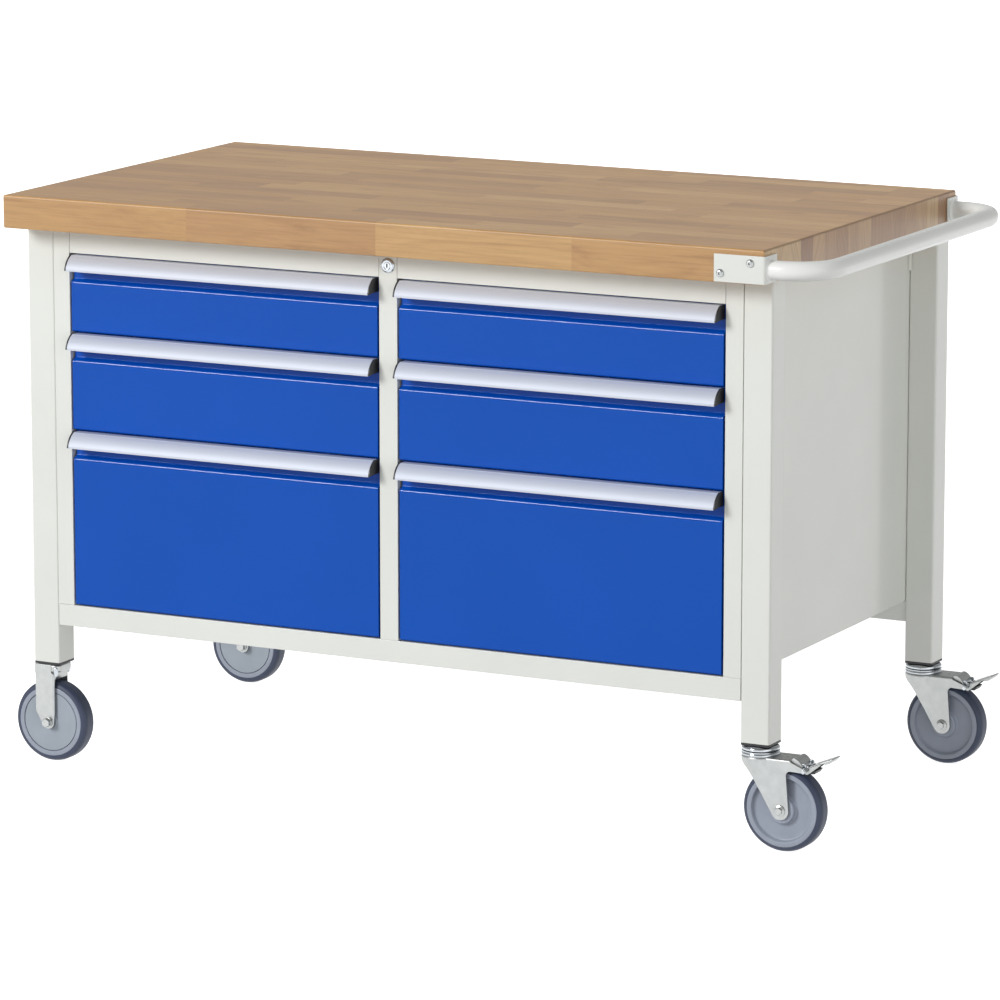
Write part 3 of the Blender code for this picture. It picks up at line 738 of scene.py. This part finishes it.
def build_tray(name, body):
    """The drawer's box with its folded rims, and the slide member on each side."""
    from_cad(f"{name}_tray", "grey_paint", 0.0005, 2)
    low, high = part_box(f"{name}_tray")
    rail_low = low.z + RAIL_RISE
    for side, inner, sign in (("left", low.x, 1.0), ("right", high.x, -1.0)):
        rail_start, rail_end = sorted(inner - sign * reach for reach in RAIL_SPAN)
        outline = rectangle(rail_start, rail_low, rail_end, rail_low + RAIL_HEIGHT)
        outline = rounded(outline, 0.003, 4, closed=True)
        rail = prism(outline, "Y", low.y + RAIL_ENDS[0], high.y - RAIL_ENDS[1])
        finish(new_object(f"{name}_rail_{side}", rail), "zinc", body, (), 0.0003, 2)
        edge = inner + sign * SHEET * 0.5
        rim_top = high.z - RIM_LAP
        fold = edge + sign * RIM_WIDTH
        lip = [(edge, rim_top), (fold, rim_top), (fold, high.z - RIM_DROP)]
        if sign < 0:
            lip = lip[::-1]
        folded = sheet_outline(rounded(lip, 0.0015, 4), RIM_SHEET)
        flange = new_object(f"{name}_rim_{side}", prism(folded, "Y", low.y + SHEET, high.y - SHEET))
        finish(flange, "grey_paint", body, (), 0.0002, 2)


def build_drawers():
    for side in ("left", "right"):
        for row in ("top", "middle", "bottom"):
            name = f"drawer_{row}_{side}"
            build_drawer_front(name, name)
            build_handle(name, name)
            build_tray(name, name)


# Lock


def build_lock():
    """The lock's collar, and the key cylinder that turns in it."""
    low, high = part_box("lock_housing")
    centre = Vector(((low.x + high.x) / 2, low.y, (low.z + high.z) / 2))
    radius = (high.x - low.x) / 2
    depth = high.y - low.y
    neck = radius * COLLAR_NECK
    housing = turned((
        (COLLAR_BORE, 0.0004), (0.0068, 0.0000), (radius - 0.0030, 0.0001), (radius - 0.0012, 0.0006),
        (radius, 0.0022), (radius, COLLAR_DEPTH), (neck, COLLAR_DEPTH), (neck, depth), (COLLAR_BORE, depth),
    ), "Y", 64, ring=True)
    obj = new_object("lock_housing_collar", housing, centre)
    finish(obj, "race_steel", "root", ("lock_housing",), 0.0001, 2, 50.0)
    plug_low, plug_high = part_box("lock_cylinder")
    length = plug_high.y - plug_low.y
    plug = turned(((PLUG_RADIUS - 0.0006, 0.0), (PLUG_RADIUS, 0.0005), (PLUG_RADIUS, length)), "Y", 64)
    obj = new_object("lock_key_cylinder", plug, (centre.x, plug_low.y + 0.0001, centre.z))
    half_width, half_height = KEYWAY_HALF
    keyway = rounded(rectangle(-half_width, -half_height, half_width, half_height), 0.0009, 4, closed=True)
    combine(obj, prism(keyway, "Y", -0.001, 0.006), "DIFFERENCE")
    finish(obj, "race_steel", "lock_cylinder", ("lock_cylinder",), 0.0001, 2, 50.0)
    # A black plate closes the bottom of the keyway: painted shade, standing in for the dark inside of the
    # keyhole.
    half_width, half_height = half_width + 0.0001, half_height + 0.0001
    plate = prism(rectangle(-half_width, -half_height, half_width, half_height), "Y", *KEYWAY_DEPTH)
    obj = new_object("lock_keyway_painted_shade", plate, (centre.x, plug_low.y, centre.z))
    finish(obj, "black_plastic", "lock_cylinder", (), 0.0)


# Push bar


def screw(name, place, axis_turn, body):
    """A dome-head screw with a hexagon socket, its axis along -Y before it is turned."""
    dome = []
    for step in range(7):
        angle = math.radians(90.0 * step / 6)
        radius = SCREW_RADIUS * (0.42 + 0.58 * math.cos(angle))
        dome.append((circle(radius, 24), -SCREW_HEIGHT * math.sin(angle)))
    sections = [(circle(SCREW_RADIUS, 24), 0.0)] + dome
    sections.append((hexagon(SCREW_SOCKET), -SCREW_HEIGHT))
    sections.append((hexagon(SCREW_SOCKET), -SCREW_HEIGHT + SOCKET_DEPTH))
    obj = new_object(name, loft(sections, "Y"), place)
    obj.rotation_euler = Euler((0.0, 0.0, axis_turn))
    finish(obj, "zinc", body, (), 0.0, angle=35.0)


def build_push_bar():
    """A bent tube welded to two brackets, each screwed to the worktop's side."""
    low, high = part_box("push_bar")
    radius = (high.z - low.z) / 2
    line_x = high.x - radius
    middle_z = (low.z + high.z) / 2
    centres = [((low.x, low.y + radius), 0.0)]
    for centre_y, start in ((low.y + radius + BAR_BEND, -90.0), (high.y - radius - BAR_BEND, 0.0)):
        points = arc((line_x - BAR_BEND, centre_y), BAR_BEND, start, start + 90.0, BEND_STEPS)
        for step, point in enumerate(points):
            centres.append((point, start + 90.0 + 90.0 * step / BEND_STEPS))
    centres.append(((low.x, high.y - radius), 180.0))
    mesh = bmesh.new()
    skins = []
    for skin_radius in (radius, radius - BAR_WALL):
        loops = []
        for (x, y), heading in centres:
            side = Vector((-math.sin(math.radians(heading)), math.cos(math.radians(heading))))
            loops.append([
                mesh.verts.new((x + u * side.x, y + u * side.y, middle_z + v))
                for u, v in circle(skin_radius, 40)
            ])
        skins.append(loops)
    around = skins[0] + skins[1][::-1]
    for first, second in zip(around, around[1:] + around[:1]):
        for index in range(len(first)):
            following = (index + 1) % len(first)
            mesh.faces.new((first[index], first[following], second[following], second[index]))
    bar = new_object("push_bar_tube", mesh)
    # The tube and its welds take the lightened grey, whose extra brightness is painted light.
    finish(bar, "bar_paint_with_painted_light", "root", ("push_bar",), 0.0, angle=35.0)

    for end, centre_y in (("front", low.y + radius), ("rear", high.y - radius)):
        fillet = [(radius - WELD_LAP, 0.0), (radius + WELD - WELD_LAP, 0.0)]
        fillet += [(radius + WELD - WELD * math.sin(t), WELD - WELD * math.cos(t))
                   for t in (math.pi / 12 * k for k in range(1, 7))]
        fillet.append((radius - WELD_LAP, WELD + WELD_LAP))
        weld = turned(fillet, "X", 48, ring=True)
        obj = new_object(f"push_bar_weld_{end}", weld, (low.x - 0.0002, centre_y, middle_z))
        finish(obj, "bar_paint_with_painted_light", "root", (), 0.0, angle=60.0)
        from_cad(f"push_bar_bracket_{end}", "grey_paint", 0.0008, 3, 40.0)

    front_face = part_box("push_bar_bracket_front")[0].y
    rear_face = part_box("push_bar_bracket_rear")[1].y
    for number, (x, z) in enumerate(BRACKET_SCREWS, 1):
        screw(f"bracket_screw_front_{number}", (BENCH.x + x, front_face - HAIR, z), 0.0, "root")
        screw(f"bracket_screw_rear_{number}", (BENCH.x + x, rear_face + HAIR, z), math.pi, "root")


# Casters. Side views are (x, z) from the line through the leg; plans are (x, y).


def wheel_profile(dished):
    """Half of the rim's section, as (radius, distance from the middle plane)."""
    if dished:
        return [
            (0.0061, 0.0180), (0.0188, 0.0180), (0.0200, 0.0170), (0.0205, 0.0118), (0.0225, 0.0100),
            (0.0400, 0.0090), (0.0440, 0.0092), (0.0456, 0.0100), (0.0474, 0.0146), (0.0482, 0.0153),
            (0.0490, 0.0156), (0.0538, 0.0156), (0.0548, 0.0151), (0.0552, 0.0140),
        ]
    return [
        (0.0400, 0.0110), (0.0466, 0.0120), (0.0466, 0.0148), (0.0471, 0.0154), (0.0526, 0.0155),
        (0.0536, 0.0150), (0.0540, 0.0139),
    ]


def build_wheel(name, dished):
    node = f"wheel_{name}"
    low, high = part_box(node)
    centre = (low + high) / 2
    half = wheel_profile(dished)
    mirrored = [(radius, -along) for radius, along in half[::-1]]
    if not dished:
        cover = [(0.0061, 0.0163), (0.0110, 0.0163), (0.0120, 0.0150), (0.0446, 0.0150), (0.0454, 0.0146),
                 (0.0456, 0.0115), (0.0430, 0.0105)]
        cover += [(radius, -along) for radius, along in cover[::-1]]
        disc = new_object(f"{node}_cover", turned(cover, "Y", 96, ring=True), centre)
        finish(disc, "rim_cover", node, (), 0.0, angle=30.0)
    rim = new_object(f"{node}_rim", turned(half + mirrored, "Y", 96, ring=True), centre)
    finish(rim, "rim", node, (), 0.0, angle=30.0)

    radius = (high.z - low.z) / 2
    inner = half[-1][0] - 0.0004
    crown = [(inner, TREAD_SIDE - 0.0030), (inner, TREAD_SIDE), (inner + 0.0010, TREAD_SIDE + 0.0005)]
    for step in range(9):
        angle = math.radians(22 + 68 * step / 8)
        crown.append((
            radius - TREAD_ROUND[0] + TREAD_ROUND[0] * math.sin(angle),
            TREAD_SIDE + 0.0002 - TREAD_ROUND[1] + TREAD_ROUND[1] * math.cos(angle),
        ))
    tread_profile = crown + [(r, -a) for r, a in crown[::-1]]
    tread = new_object(f"{node}_tread", turned(tread_profile, "Y", 96, ring=True), centre)
    finish(tread, "tyre", node, (node,), 0.0, angle=50.0)


def bolt(name, body, place, flange_radius, across, height, direction):
    """A flanged hexagon head. direction is -1 towards the front and +1 towards the rear."""
    rim = [
        (circle(flange_radius, 24), 0.0),
        (circle(flange_radius, 24), 0.0009),
        (circle(across * 0.60, 24), 0.0020),
        (hexagon(across), 0.0024),
        (hexagon(across), height - 0.0008),
        (hexagon(across * 0.90), height),
    ]
    sections = [(outline, along * direction) for outline, along in rim]
    obj = new_object(name, loft(sections, "Y"), place)
    finish(obj, "zinc", body, (), 0.0002, 2, 40.0)


def build_axle(name, body, flange_radius, across, heights):
    low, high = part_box(f"axle_{name}")
    centre = (low + high) / 2
    half_shank = HALF_FORK + 0.0002
    shank = turned(((AXLE_RADIUS, -half_shank), (AXLE_RADIUS, half_shank)), "Y", 48)
    finish(new_object(f"axle_{name}_shank", shank, centre), "zinc", body, (f"axle_{name}",), 0.0002)
    for label, direction, height in (("head", -1.0, heights[0]), ("nut", 1.0, heights[1])):
        place = centre + Vector((0.0, direction * half_shank, 0.0))
        bolt(f"axle_{name}_{label}", body, place, flange_radius, across, height, direction)


def build_fixed_caster(name):
    """A pressed fork of two legs with folded rear edges under a domed crown, with its axle and wheel."""
    node = f"fork_{name}"
    axle_low, axle_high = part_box(f"axle_{name}")
    axle = (axle_low + axle_high) / 2
    location = Vector((axle.x, axle.y, 0.0))
    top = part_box(node)[1].z
    # The legs' shoulders are a little wider than the rest.
    shoulder = [(-0.0226, top - 0.0004), (-0.0226, 0.1410), (-0.0212, 0.1355), (-0.0212, 0.0790)]
    outline = rounded(shoulder + [(-0.0085, 0.0568)], 0.003, 4)
    outline += arc((0.0, axle.z), FIXED_EYE, 218.0, 338.0, 10)
    outline += [(FIXED_FOLD - 0.0008, 0.0700), (FIXED_FOLD, 0.0780), (FIXED_FOLD, 0.1375)]
    outline += [(0.0065, 0.1400), (0.0065, top - 0.0004)]
    bend_x, bend_y = FIXED_FOLD - FOLD_ROUND, -HALF_FORK + FOLD_ROUND
    inner_y = -HALF_FORK + FORK_SHEET
    leg_plan = [(-FIXED_REACH, -HALF_FORK), (bend_x, -HALF_FORK)]
    leg_plan += arc((bend_x, bend_y), FOLD_ROUND, -90.0, 0.0, 6)
    leg_plan += [(FIXED_FOLD, bend_y + 0.0004), (FIXED_FOLD - 0.0022, bend_y + 0.0004)]
    leg_plan += [(FIXED_FOLD - 0.0040, inner_y), (-FIXED_REACH, inner_y)]
    for side, mirror in (("near", 1.0), ("far", -1.0)):
        plan = [(x, y * mirror) for x, y in leg_plan]
        leg = new_object(f"{node}_leg_{side}", prism(plan, "Z", 0.045, top), location)
        combine(leg, prism(outline, "Y", -0.040, 0.040), "INTERSECT")
        finish(leg, "zinc", "root", (node,), 0.0007, 3, 35.0)
    cap = rounded(rectangle(-0.0215, -0.0212, 0.0195, 0.0212), 0.009, 6, closed=True)
    rim = rounded(rectangle(-0.0200, -0.0195, 0.0180, 0.0195), 0.009, 6, closed=True)
    mesh = loft(((rim, top), (cap, top - 0.0022), (cap, 0.1430), (rim, 0.1405)), "Z")
    obj = new_object(f"{node}_crown", mesh, location)
    finish(obj, "zinc", "root", (), 0.0008, 3, 35.0)
    upper = rounded(rectangle(-0.0180, -0.0188, 0.0150, 0.0188), 0.004, 4, closed=True)
    lower = rounded(rectangle(-0.0140, -0.0188, 0.0105, 0.0188), 0.003, 4, closed=True)
    mesh = loft(((upper, 0.1412), (upper, 0.1370), (lower, 0.1280)), "Z")
    obj = new_object(f"{node}_saddle", mesh, location)
    finish(obj, "zinc", "root", (), 0.0010, 3, 35.0)
    for side, y in (("near", -0.0190), ("far", 0.0190)):
        boss = turned((
            (0.0004, 0.1492), (0.0022, 0.1486), (0.0033, 0.1468), (0.0034, 0.1445), (0.0030, 0.1385),
            (0.0024, 0.1350), (0.0010, 0.1345),
        ), "Z", 24)
        obj = new_object(f"{node}_boss_{side}", boss, location + Vector((0.0135, y, 0.0)))
        finish(obj, "race_steel", "root", (), 0.0, angle=60.0)
    build_axle(name, "root", 0.0072, 0.0125, (0.0088, 0.0070))
    build_wheel(name, dished=False)


def fork_plan(inset, roundness, rear):
    """The swivel fork in plan: straight sides and a front from an ellipse (0) to the crown's circle (1)."""
    turn = math.acos(-FORK_CREASE / CROWN_RADIUS)
    points = []
    for step in range(-12, 13):
        share = step / 12
        angle = share * math.pi / 2
        ellipse = (
            FORK_CREASE - (FORK_REACH - inset) * math.cos(angle),
            (HALF_FORK - inset) * math.sin(angle),
        )
        angle = share * turn
        ring = (-(CROWN_RADIUS - inset) * math.cos(angle), (CROWN_RADIUS - inset) * math.sin(angle))
        points.append(tuple(e + (r - e) * roundness for e, r in zip(ellipse, ring)))
    return points + [(rear, HALF_FORK - inset), (rear, -HALF_FORK + inset)]


def fork_side_view(trail, axle_z):
    """The slanting leg with its round end, and the arm that narrows towards the brake."""
    outline = [(-0.0340, CROWN_TOP + 0.001), (-0.0340, 0.1358), (-0.0285, 0.1358)]
    outline += [(-0.0160, 0.1218), (-0.0014, 0.1028), (0.0117, 0.0839)]
    outline += arc((trail, axle_z), 0.0135, 209.0, 356.0, 14)
    outline += arc((0.0562, 0.1152), 0.0070, 182.0, 95.0, 8)
    outline += [(0.0670, 0.1217), (0.0786, 0.1214), (0.0802, 0.1236), (0.0792, 0.1264)]
    outline += [(0.0710, 0.1294), (0.0583, 0.1342), (0.0545, 0.1368), (0.0520, CROWN_TOP + 0.001)]
    return outline


def build_swivel_caster(name):
    """A pressed swivel fork with its races, axle, wheel and brake pedal."""
    node = f"fork_{name}"
    body = f"swivel_{name}"
    head_low, head_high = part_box(f"swivel_head_{name}")
    axle_low, axle_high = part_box(f"axle_{name}")
    axle = (axle_low + axle_high) / 2
    pivot = (head_low + head_high) / 2
    location = Vector((pivot.x, pivot.y, 0.0))
    radius = (head_high.x - head_low.x) / 2

    heights = ((0.040, 0.0), (0.110, 0.0), (0.116, 0.12), (0.121, 0.38), (0.126, 0.70), (0.130, 0.92),
               (0.134, 1.0), (CROWN_TOP, 1.0))
    shell = new_object(
        f"{node}_pressing", loft([(fork_plan(0.0, share, 0.090), z) for z, share in heights], "Z"), location
    )
    mesh = bmesh.new()
    mesh.from_mesh(shell.data)
    upper = [edge for edge in mesh.edges if all(abs(vert.co.z - CROWN_TOP) < 1e-5 for vert in edge.verts)]
    bmesh.ops.bevel(mesh, geom=upper, offset=0.0030, segments=4, profile=0.5, affect="EDGES")
    mesh.to_mesh(shell.data)
    mesh.free()
    combine(shell, prism(fork_side_view(axle.x - pivot.x, axle.z), "Y", -0.040, 0.040), "INTERSECT")
    hollow = [(fork_plan(FORK_SHEET, share, 0.120), z) for z, share in heights[:-1]]
    hollow = [(hollow[0][0], 0.030)] + hollow[1:] + [(hollow[-1][0], CROWN_TOP - FORK_SHEET)]
    combine(shell, loft(hollow, "Z"), "DIFFERENCE")
    thin_half = HALF_FORK - FORK_SHEET
    combine(shell, prism(rectangle(0.0548, 0.110, 0.100, 0.160), "Y", -thin_half, thin_half), "DIFFERENCE")
    finish(shell, "zinc", body, (node,), 0.0006, 3, 35.0)
    dimple = turned((
        (0.0005, CROWN_TOP + 0.0005), (0.0022, CROWN_TOP + 0.0003), (0.0026, CROWN_TOP - 0.0005),
    ), "Z", 24)
    obj = new_object(f"{node}_dimple", dimple, location + Vector((0.0420, 0.0, 0.0)))
    finish(obj, "race_steel", body, (), 0.0, angle=60.0)

    lower_race = turned((
        (0.0070, 0.1378), (radius - 0.0010, 0.1380), (radius + 0.0002, 0.1392), (radius + 0.0003, 0.1412),
        (radius - 0.0008, 0.1423), (radius - 0.0010, 0.1429), (radius - 0.0001, 0.1437),
        (radius - 0.0002, 0.1447), (radius - 0.0014, 0.1452), (0.0070, 0.1452),
    ), "Z", 72, ring=True)
    obj = new_object(f"{node}_lower_race", lower_race, location)
    finish(obj, "race_steel", body, (), 0.0, angle=60.0)
    upper_race = turned((
        (0.0060, 0.1290), (0.0060, 0.1454), (radius - 0.0022, 0.1454), (radius - 0.0006, 0.1463),
        (radius, 0.1480), (radius - 0.0003, 0.1498), (radius - 0.0014, 0.1513), (radius - 0.0036, 0.1524),
        (radius - 0.0050, head_high.z),
    ), "Z", 72)
    obj = new_object(f"swivel_head_{name}_race", upper_race, location)
    finish(obj, "race_steel", "root", (f"swivel_head_{name}",), 0.0, angle=60.0)

    build_axle(name, body, 0.0086, 0.0100, (0.0050, 0.0050))
    build_wheel(name, dished=True)
    build_pedal(name, location)


def build_pedal(name, location):
    """The foot brake: a curved cover, rolled ears on a pin, and a channelled tongue with a raised tip."""
    node = f"brake_pedal_{name}"
    low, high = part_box(node)
    pin_half = (high.y - low.y) / 2 - 0.0002

    def add(label, mesh, slot="zinc", replaced=(), edge=0.0005, offset=(0.0, 0.0, 0.0)):
        obj = new_object(f"{node}_{label}", mesh, location + Vector(offset))
        finish(obj, slot, node, replaced, edge, 3, 40.0)

    tongue = rounded([(0.0826, 0.1302), (0.1012, 0.1384), (0.1176, 0.1450)], 0.010, 6)
    tongue = prism(sheet_outline(tongue, PEDAL_SHEET), "Y", -PEDAL_HALF, PEDAL_HALF)
    add("tongue", tongue, replaced=(node,), edge=0.0008)
    tip = [
        (0.1040, 0.1388), (0.1168, 0.1444), (0.1180, 0.1442), (0.1176, 0.1424), (0.1128, 0.1374),
        (0.1066, 0.1356),
    ]
    add("tip", prism(tip, "Y", -PEDAL_HALF + 0.0008, PEDAL_HALF - 0.0008), edge=0.0010)
    cheek = [
        (0.0735, 0.1270), (0.0742, 0.1205), (0.0768, 0.1186), (0.0795, 0.1184), (0.0845, 0.1216),
        (0.0900, 0.1262), (0.0971, 0.1320), (0.1012, 0.1366), (0.1008, 0.1382), (0.0830, 0.1306),
        (0.0822, 0.1265), (0.0798, 0.1238), (0.0780, 0.1268),
    ]
    loop = ((0.0021, -0.0018), (0.0042, -0.0018), (0.0042, 0.0018), (0.0021, 0.0018))
    for side, sign in (("front", -1.0), ("rear", 1.0)):
        add(f"cheek_{side}", prism(cheek, "Y", sign * PEDAL_HALF, sign * (PEDAL_HALF - 0.0020)))
        offset = (EAR_PIN[0], sign * 0.0135, EAR_PIN[1])
        add(f"ear_{side}", turned(loop, "Y", 32, ring=True), "race_steel", offset=offset)
    add("ear_pin", prism(circle(0.0020, 24, EAR_PIN), "Y", -0.0148, 0.0148), "race_steel")
    cover = [
        (0.0556, 0.1388), (0.0585, 0.1410), (0.0625, 0.1408), (0.0670, 0.1380), (0.0706, 0.1340),
        (0.0722, 0.1310),
    ]
    cover = rounded(cover, 0.006, 4)
    add("cover", prism(sheet_outline(cover, PEDAL_SHEET), "Y", -0.0172, 0.0172), edge=0.0007)
    skirt = cover + [(0.0722, 0.1270), (0.0640, 0.1270), (0.0560, 0.1335)]
    for side, sign in (("front", -1.0), ("rear", 1.0)):
        add(f"skirt_{side}", prism(skirt, "Y", sign * 0.0174, sign * 0.0156))
    shoe = [(0.0790, 0.1192), (0.0890, 0.1192), (0.0930, 0.1250), (0.0850, 0.1258)]
    add("shoe", prism(shoe, "Y", -0.0115, 0.0115), "black_plastic")
    add("pin", prism(circle(0.0030, 32, BRAKE_PIN), "Y", -pin_half, pin_half), "race_steel")


# Stage


def build_stage():
    """A plain pale floor and a white backdrop around it."""
    mesh = bmesh.new()
    outline = rectangle(-FLOOR_HALF, -FLOOR_HALF, FLOOR_HALF, FLOOR_HALF)
    mesh.faces.new([mesh.verts.new((x, y, -FLOOR_DROP)) for x, y in outline])
    floor = new_object("floor", mesh)
    white = (1.0, 1.0, 1.0, 1.0)
    material = start_material(
        "floor", Base_Color=(FLOOR_TONE, FLOOR_TONE, FLOOR_TONE, 1.0), Roughness=0.9,
        Emission_Color=white, Emission_Strength=FLOOR_GLOW,
    )[0]
    floor.data.materials.append(material)
    floor.visible_diffuse = False

    # The backdrop is seen past the floor's end, and neither lights the bench nor shows in it.
    mesh = bmesh.new()
    bmesh.ops.create_uvsphere(mesh, u_segments=48, v_segments=24, radius=BACKDROP_RADIUS)
    backdrop = new_object("backdrop", mesh)
    material = start_material("backdrop", Emission_Color=white, Emission_Strength=1.0)[0]
    backdrop.data.materials.append(material)
    backdrop.visible_diffuse = False
    backdrop.visible_glossy = False
    backdrop.visible_transmission = False
    backdrop.visible_shadow = False


def area_light(name, place, size, power):
    data = bpy.data.lights.new(name, "AREA")
    data.shape = "DISK"
    data.size = size
    data.energy = power
    light = bpy.data.objects.new(name, data)
    bpy.context.scene.collection.objects.link(light)
    light.location = place
    light.rotation_euler = (Vector(LIGHT_TARGET) - Vector(place)).to_track_quat("-Z", "Y").to_euler()
    return light


def build_lights():
    """A pale sky, brightest at the horizon and on the right; soft lights at the front left and behind."""
    world = bpy.data.worlds.new("studio")
    bpy.context.scene.world = world
    world.use_nodes = True
    tree = world.node_tree
    heading = tree.nodes.new("ShaderNodeTexCoord").outputs["Generated"]
    x, y, height = add_node(tree, "ShaderNodeSeparateXYZ", {"Vector": heading}).outputs
    above = add_node(
        tree, "ShaderNodeMapRange", {"Value": height, "To Min": SKY_HORIZON, "To Max": SKY_OVERHEAD}
    ).outputs[0]
    below = calculate(tree, "LESS_THAN", height, 0.0)
    level = add_node(tree, "ShaderNodeMix", {0: below, 2: above, 3: SKY_BELOW}).outputs[0]
    across = calculate(tree, "MULTIPLY", y, BRIGHT_SIDE[1])
    towards = calculate(tree, "MULTIPLY_ADD", x, BRIGHT_SIDE[0], across)
    panel = add_node(
        tree, "ShaderNodeMapRange",
        {"Value": towards, "From Min": BRIGHT_EDGE[0], "From Max": BRIGHT_EDGE[1], "To Min": 1.0,
         "To Max": BRIGHT_LEVEL},
        interpolation_type="SMOOTHSTEP",
    ).outputs[0]
    level = calculate(tree, "MULTIPLY", level, panel)
    tree.links.new(level, tree.nodes["Background"].inputs["Strength"])
    tree.nodes["Background"].inputs["Color"].default_value = (1.0, 1.0, 1.0, 1.0)
    area_light("key", KEY_PLACE, KEY_SIZE, KEY_POWER)
    back = area_light("back", BACK_PLACE, BACK_SIZE, BACK_POWER)
    back.visible_glossy = False


def build_camera():
    data = bpy.data.cameras.new("camera")
    data.sensor_width = SENSOR
    data.lens = CAMERA_LENS
    data.clip_end = CAMERA_REACH
    camera = bpy.data.objects.new("camera", data)
    bpy.context.scene.collection.objects.link(camera)
    camera.location = BENCH + CAMERA_PLACE
    camera.rotation_euler = Euler((math.radians(90.0 - CAMERA_TILT), 0.0, math.radians(CAMERA_TURN)))
    bpy.context.scene.camera = camera
    bpy.context.scene.view_settings.view_transform = "Standard"


build_camera()
build_frame()
build_drawers()
build_lock()
build_push_bar()
for end in ("front", "rear"):
    build_fixed_caster(f"{end}_left")
    build_swivel_caster(f"{end}_right")
build_stage()
build_lights()
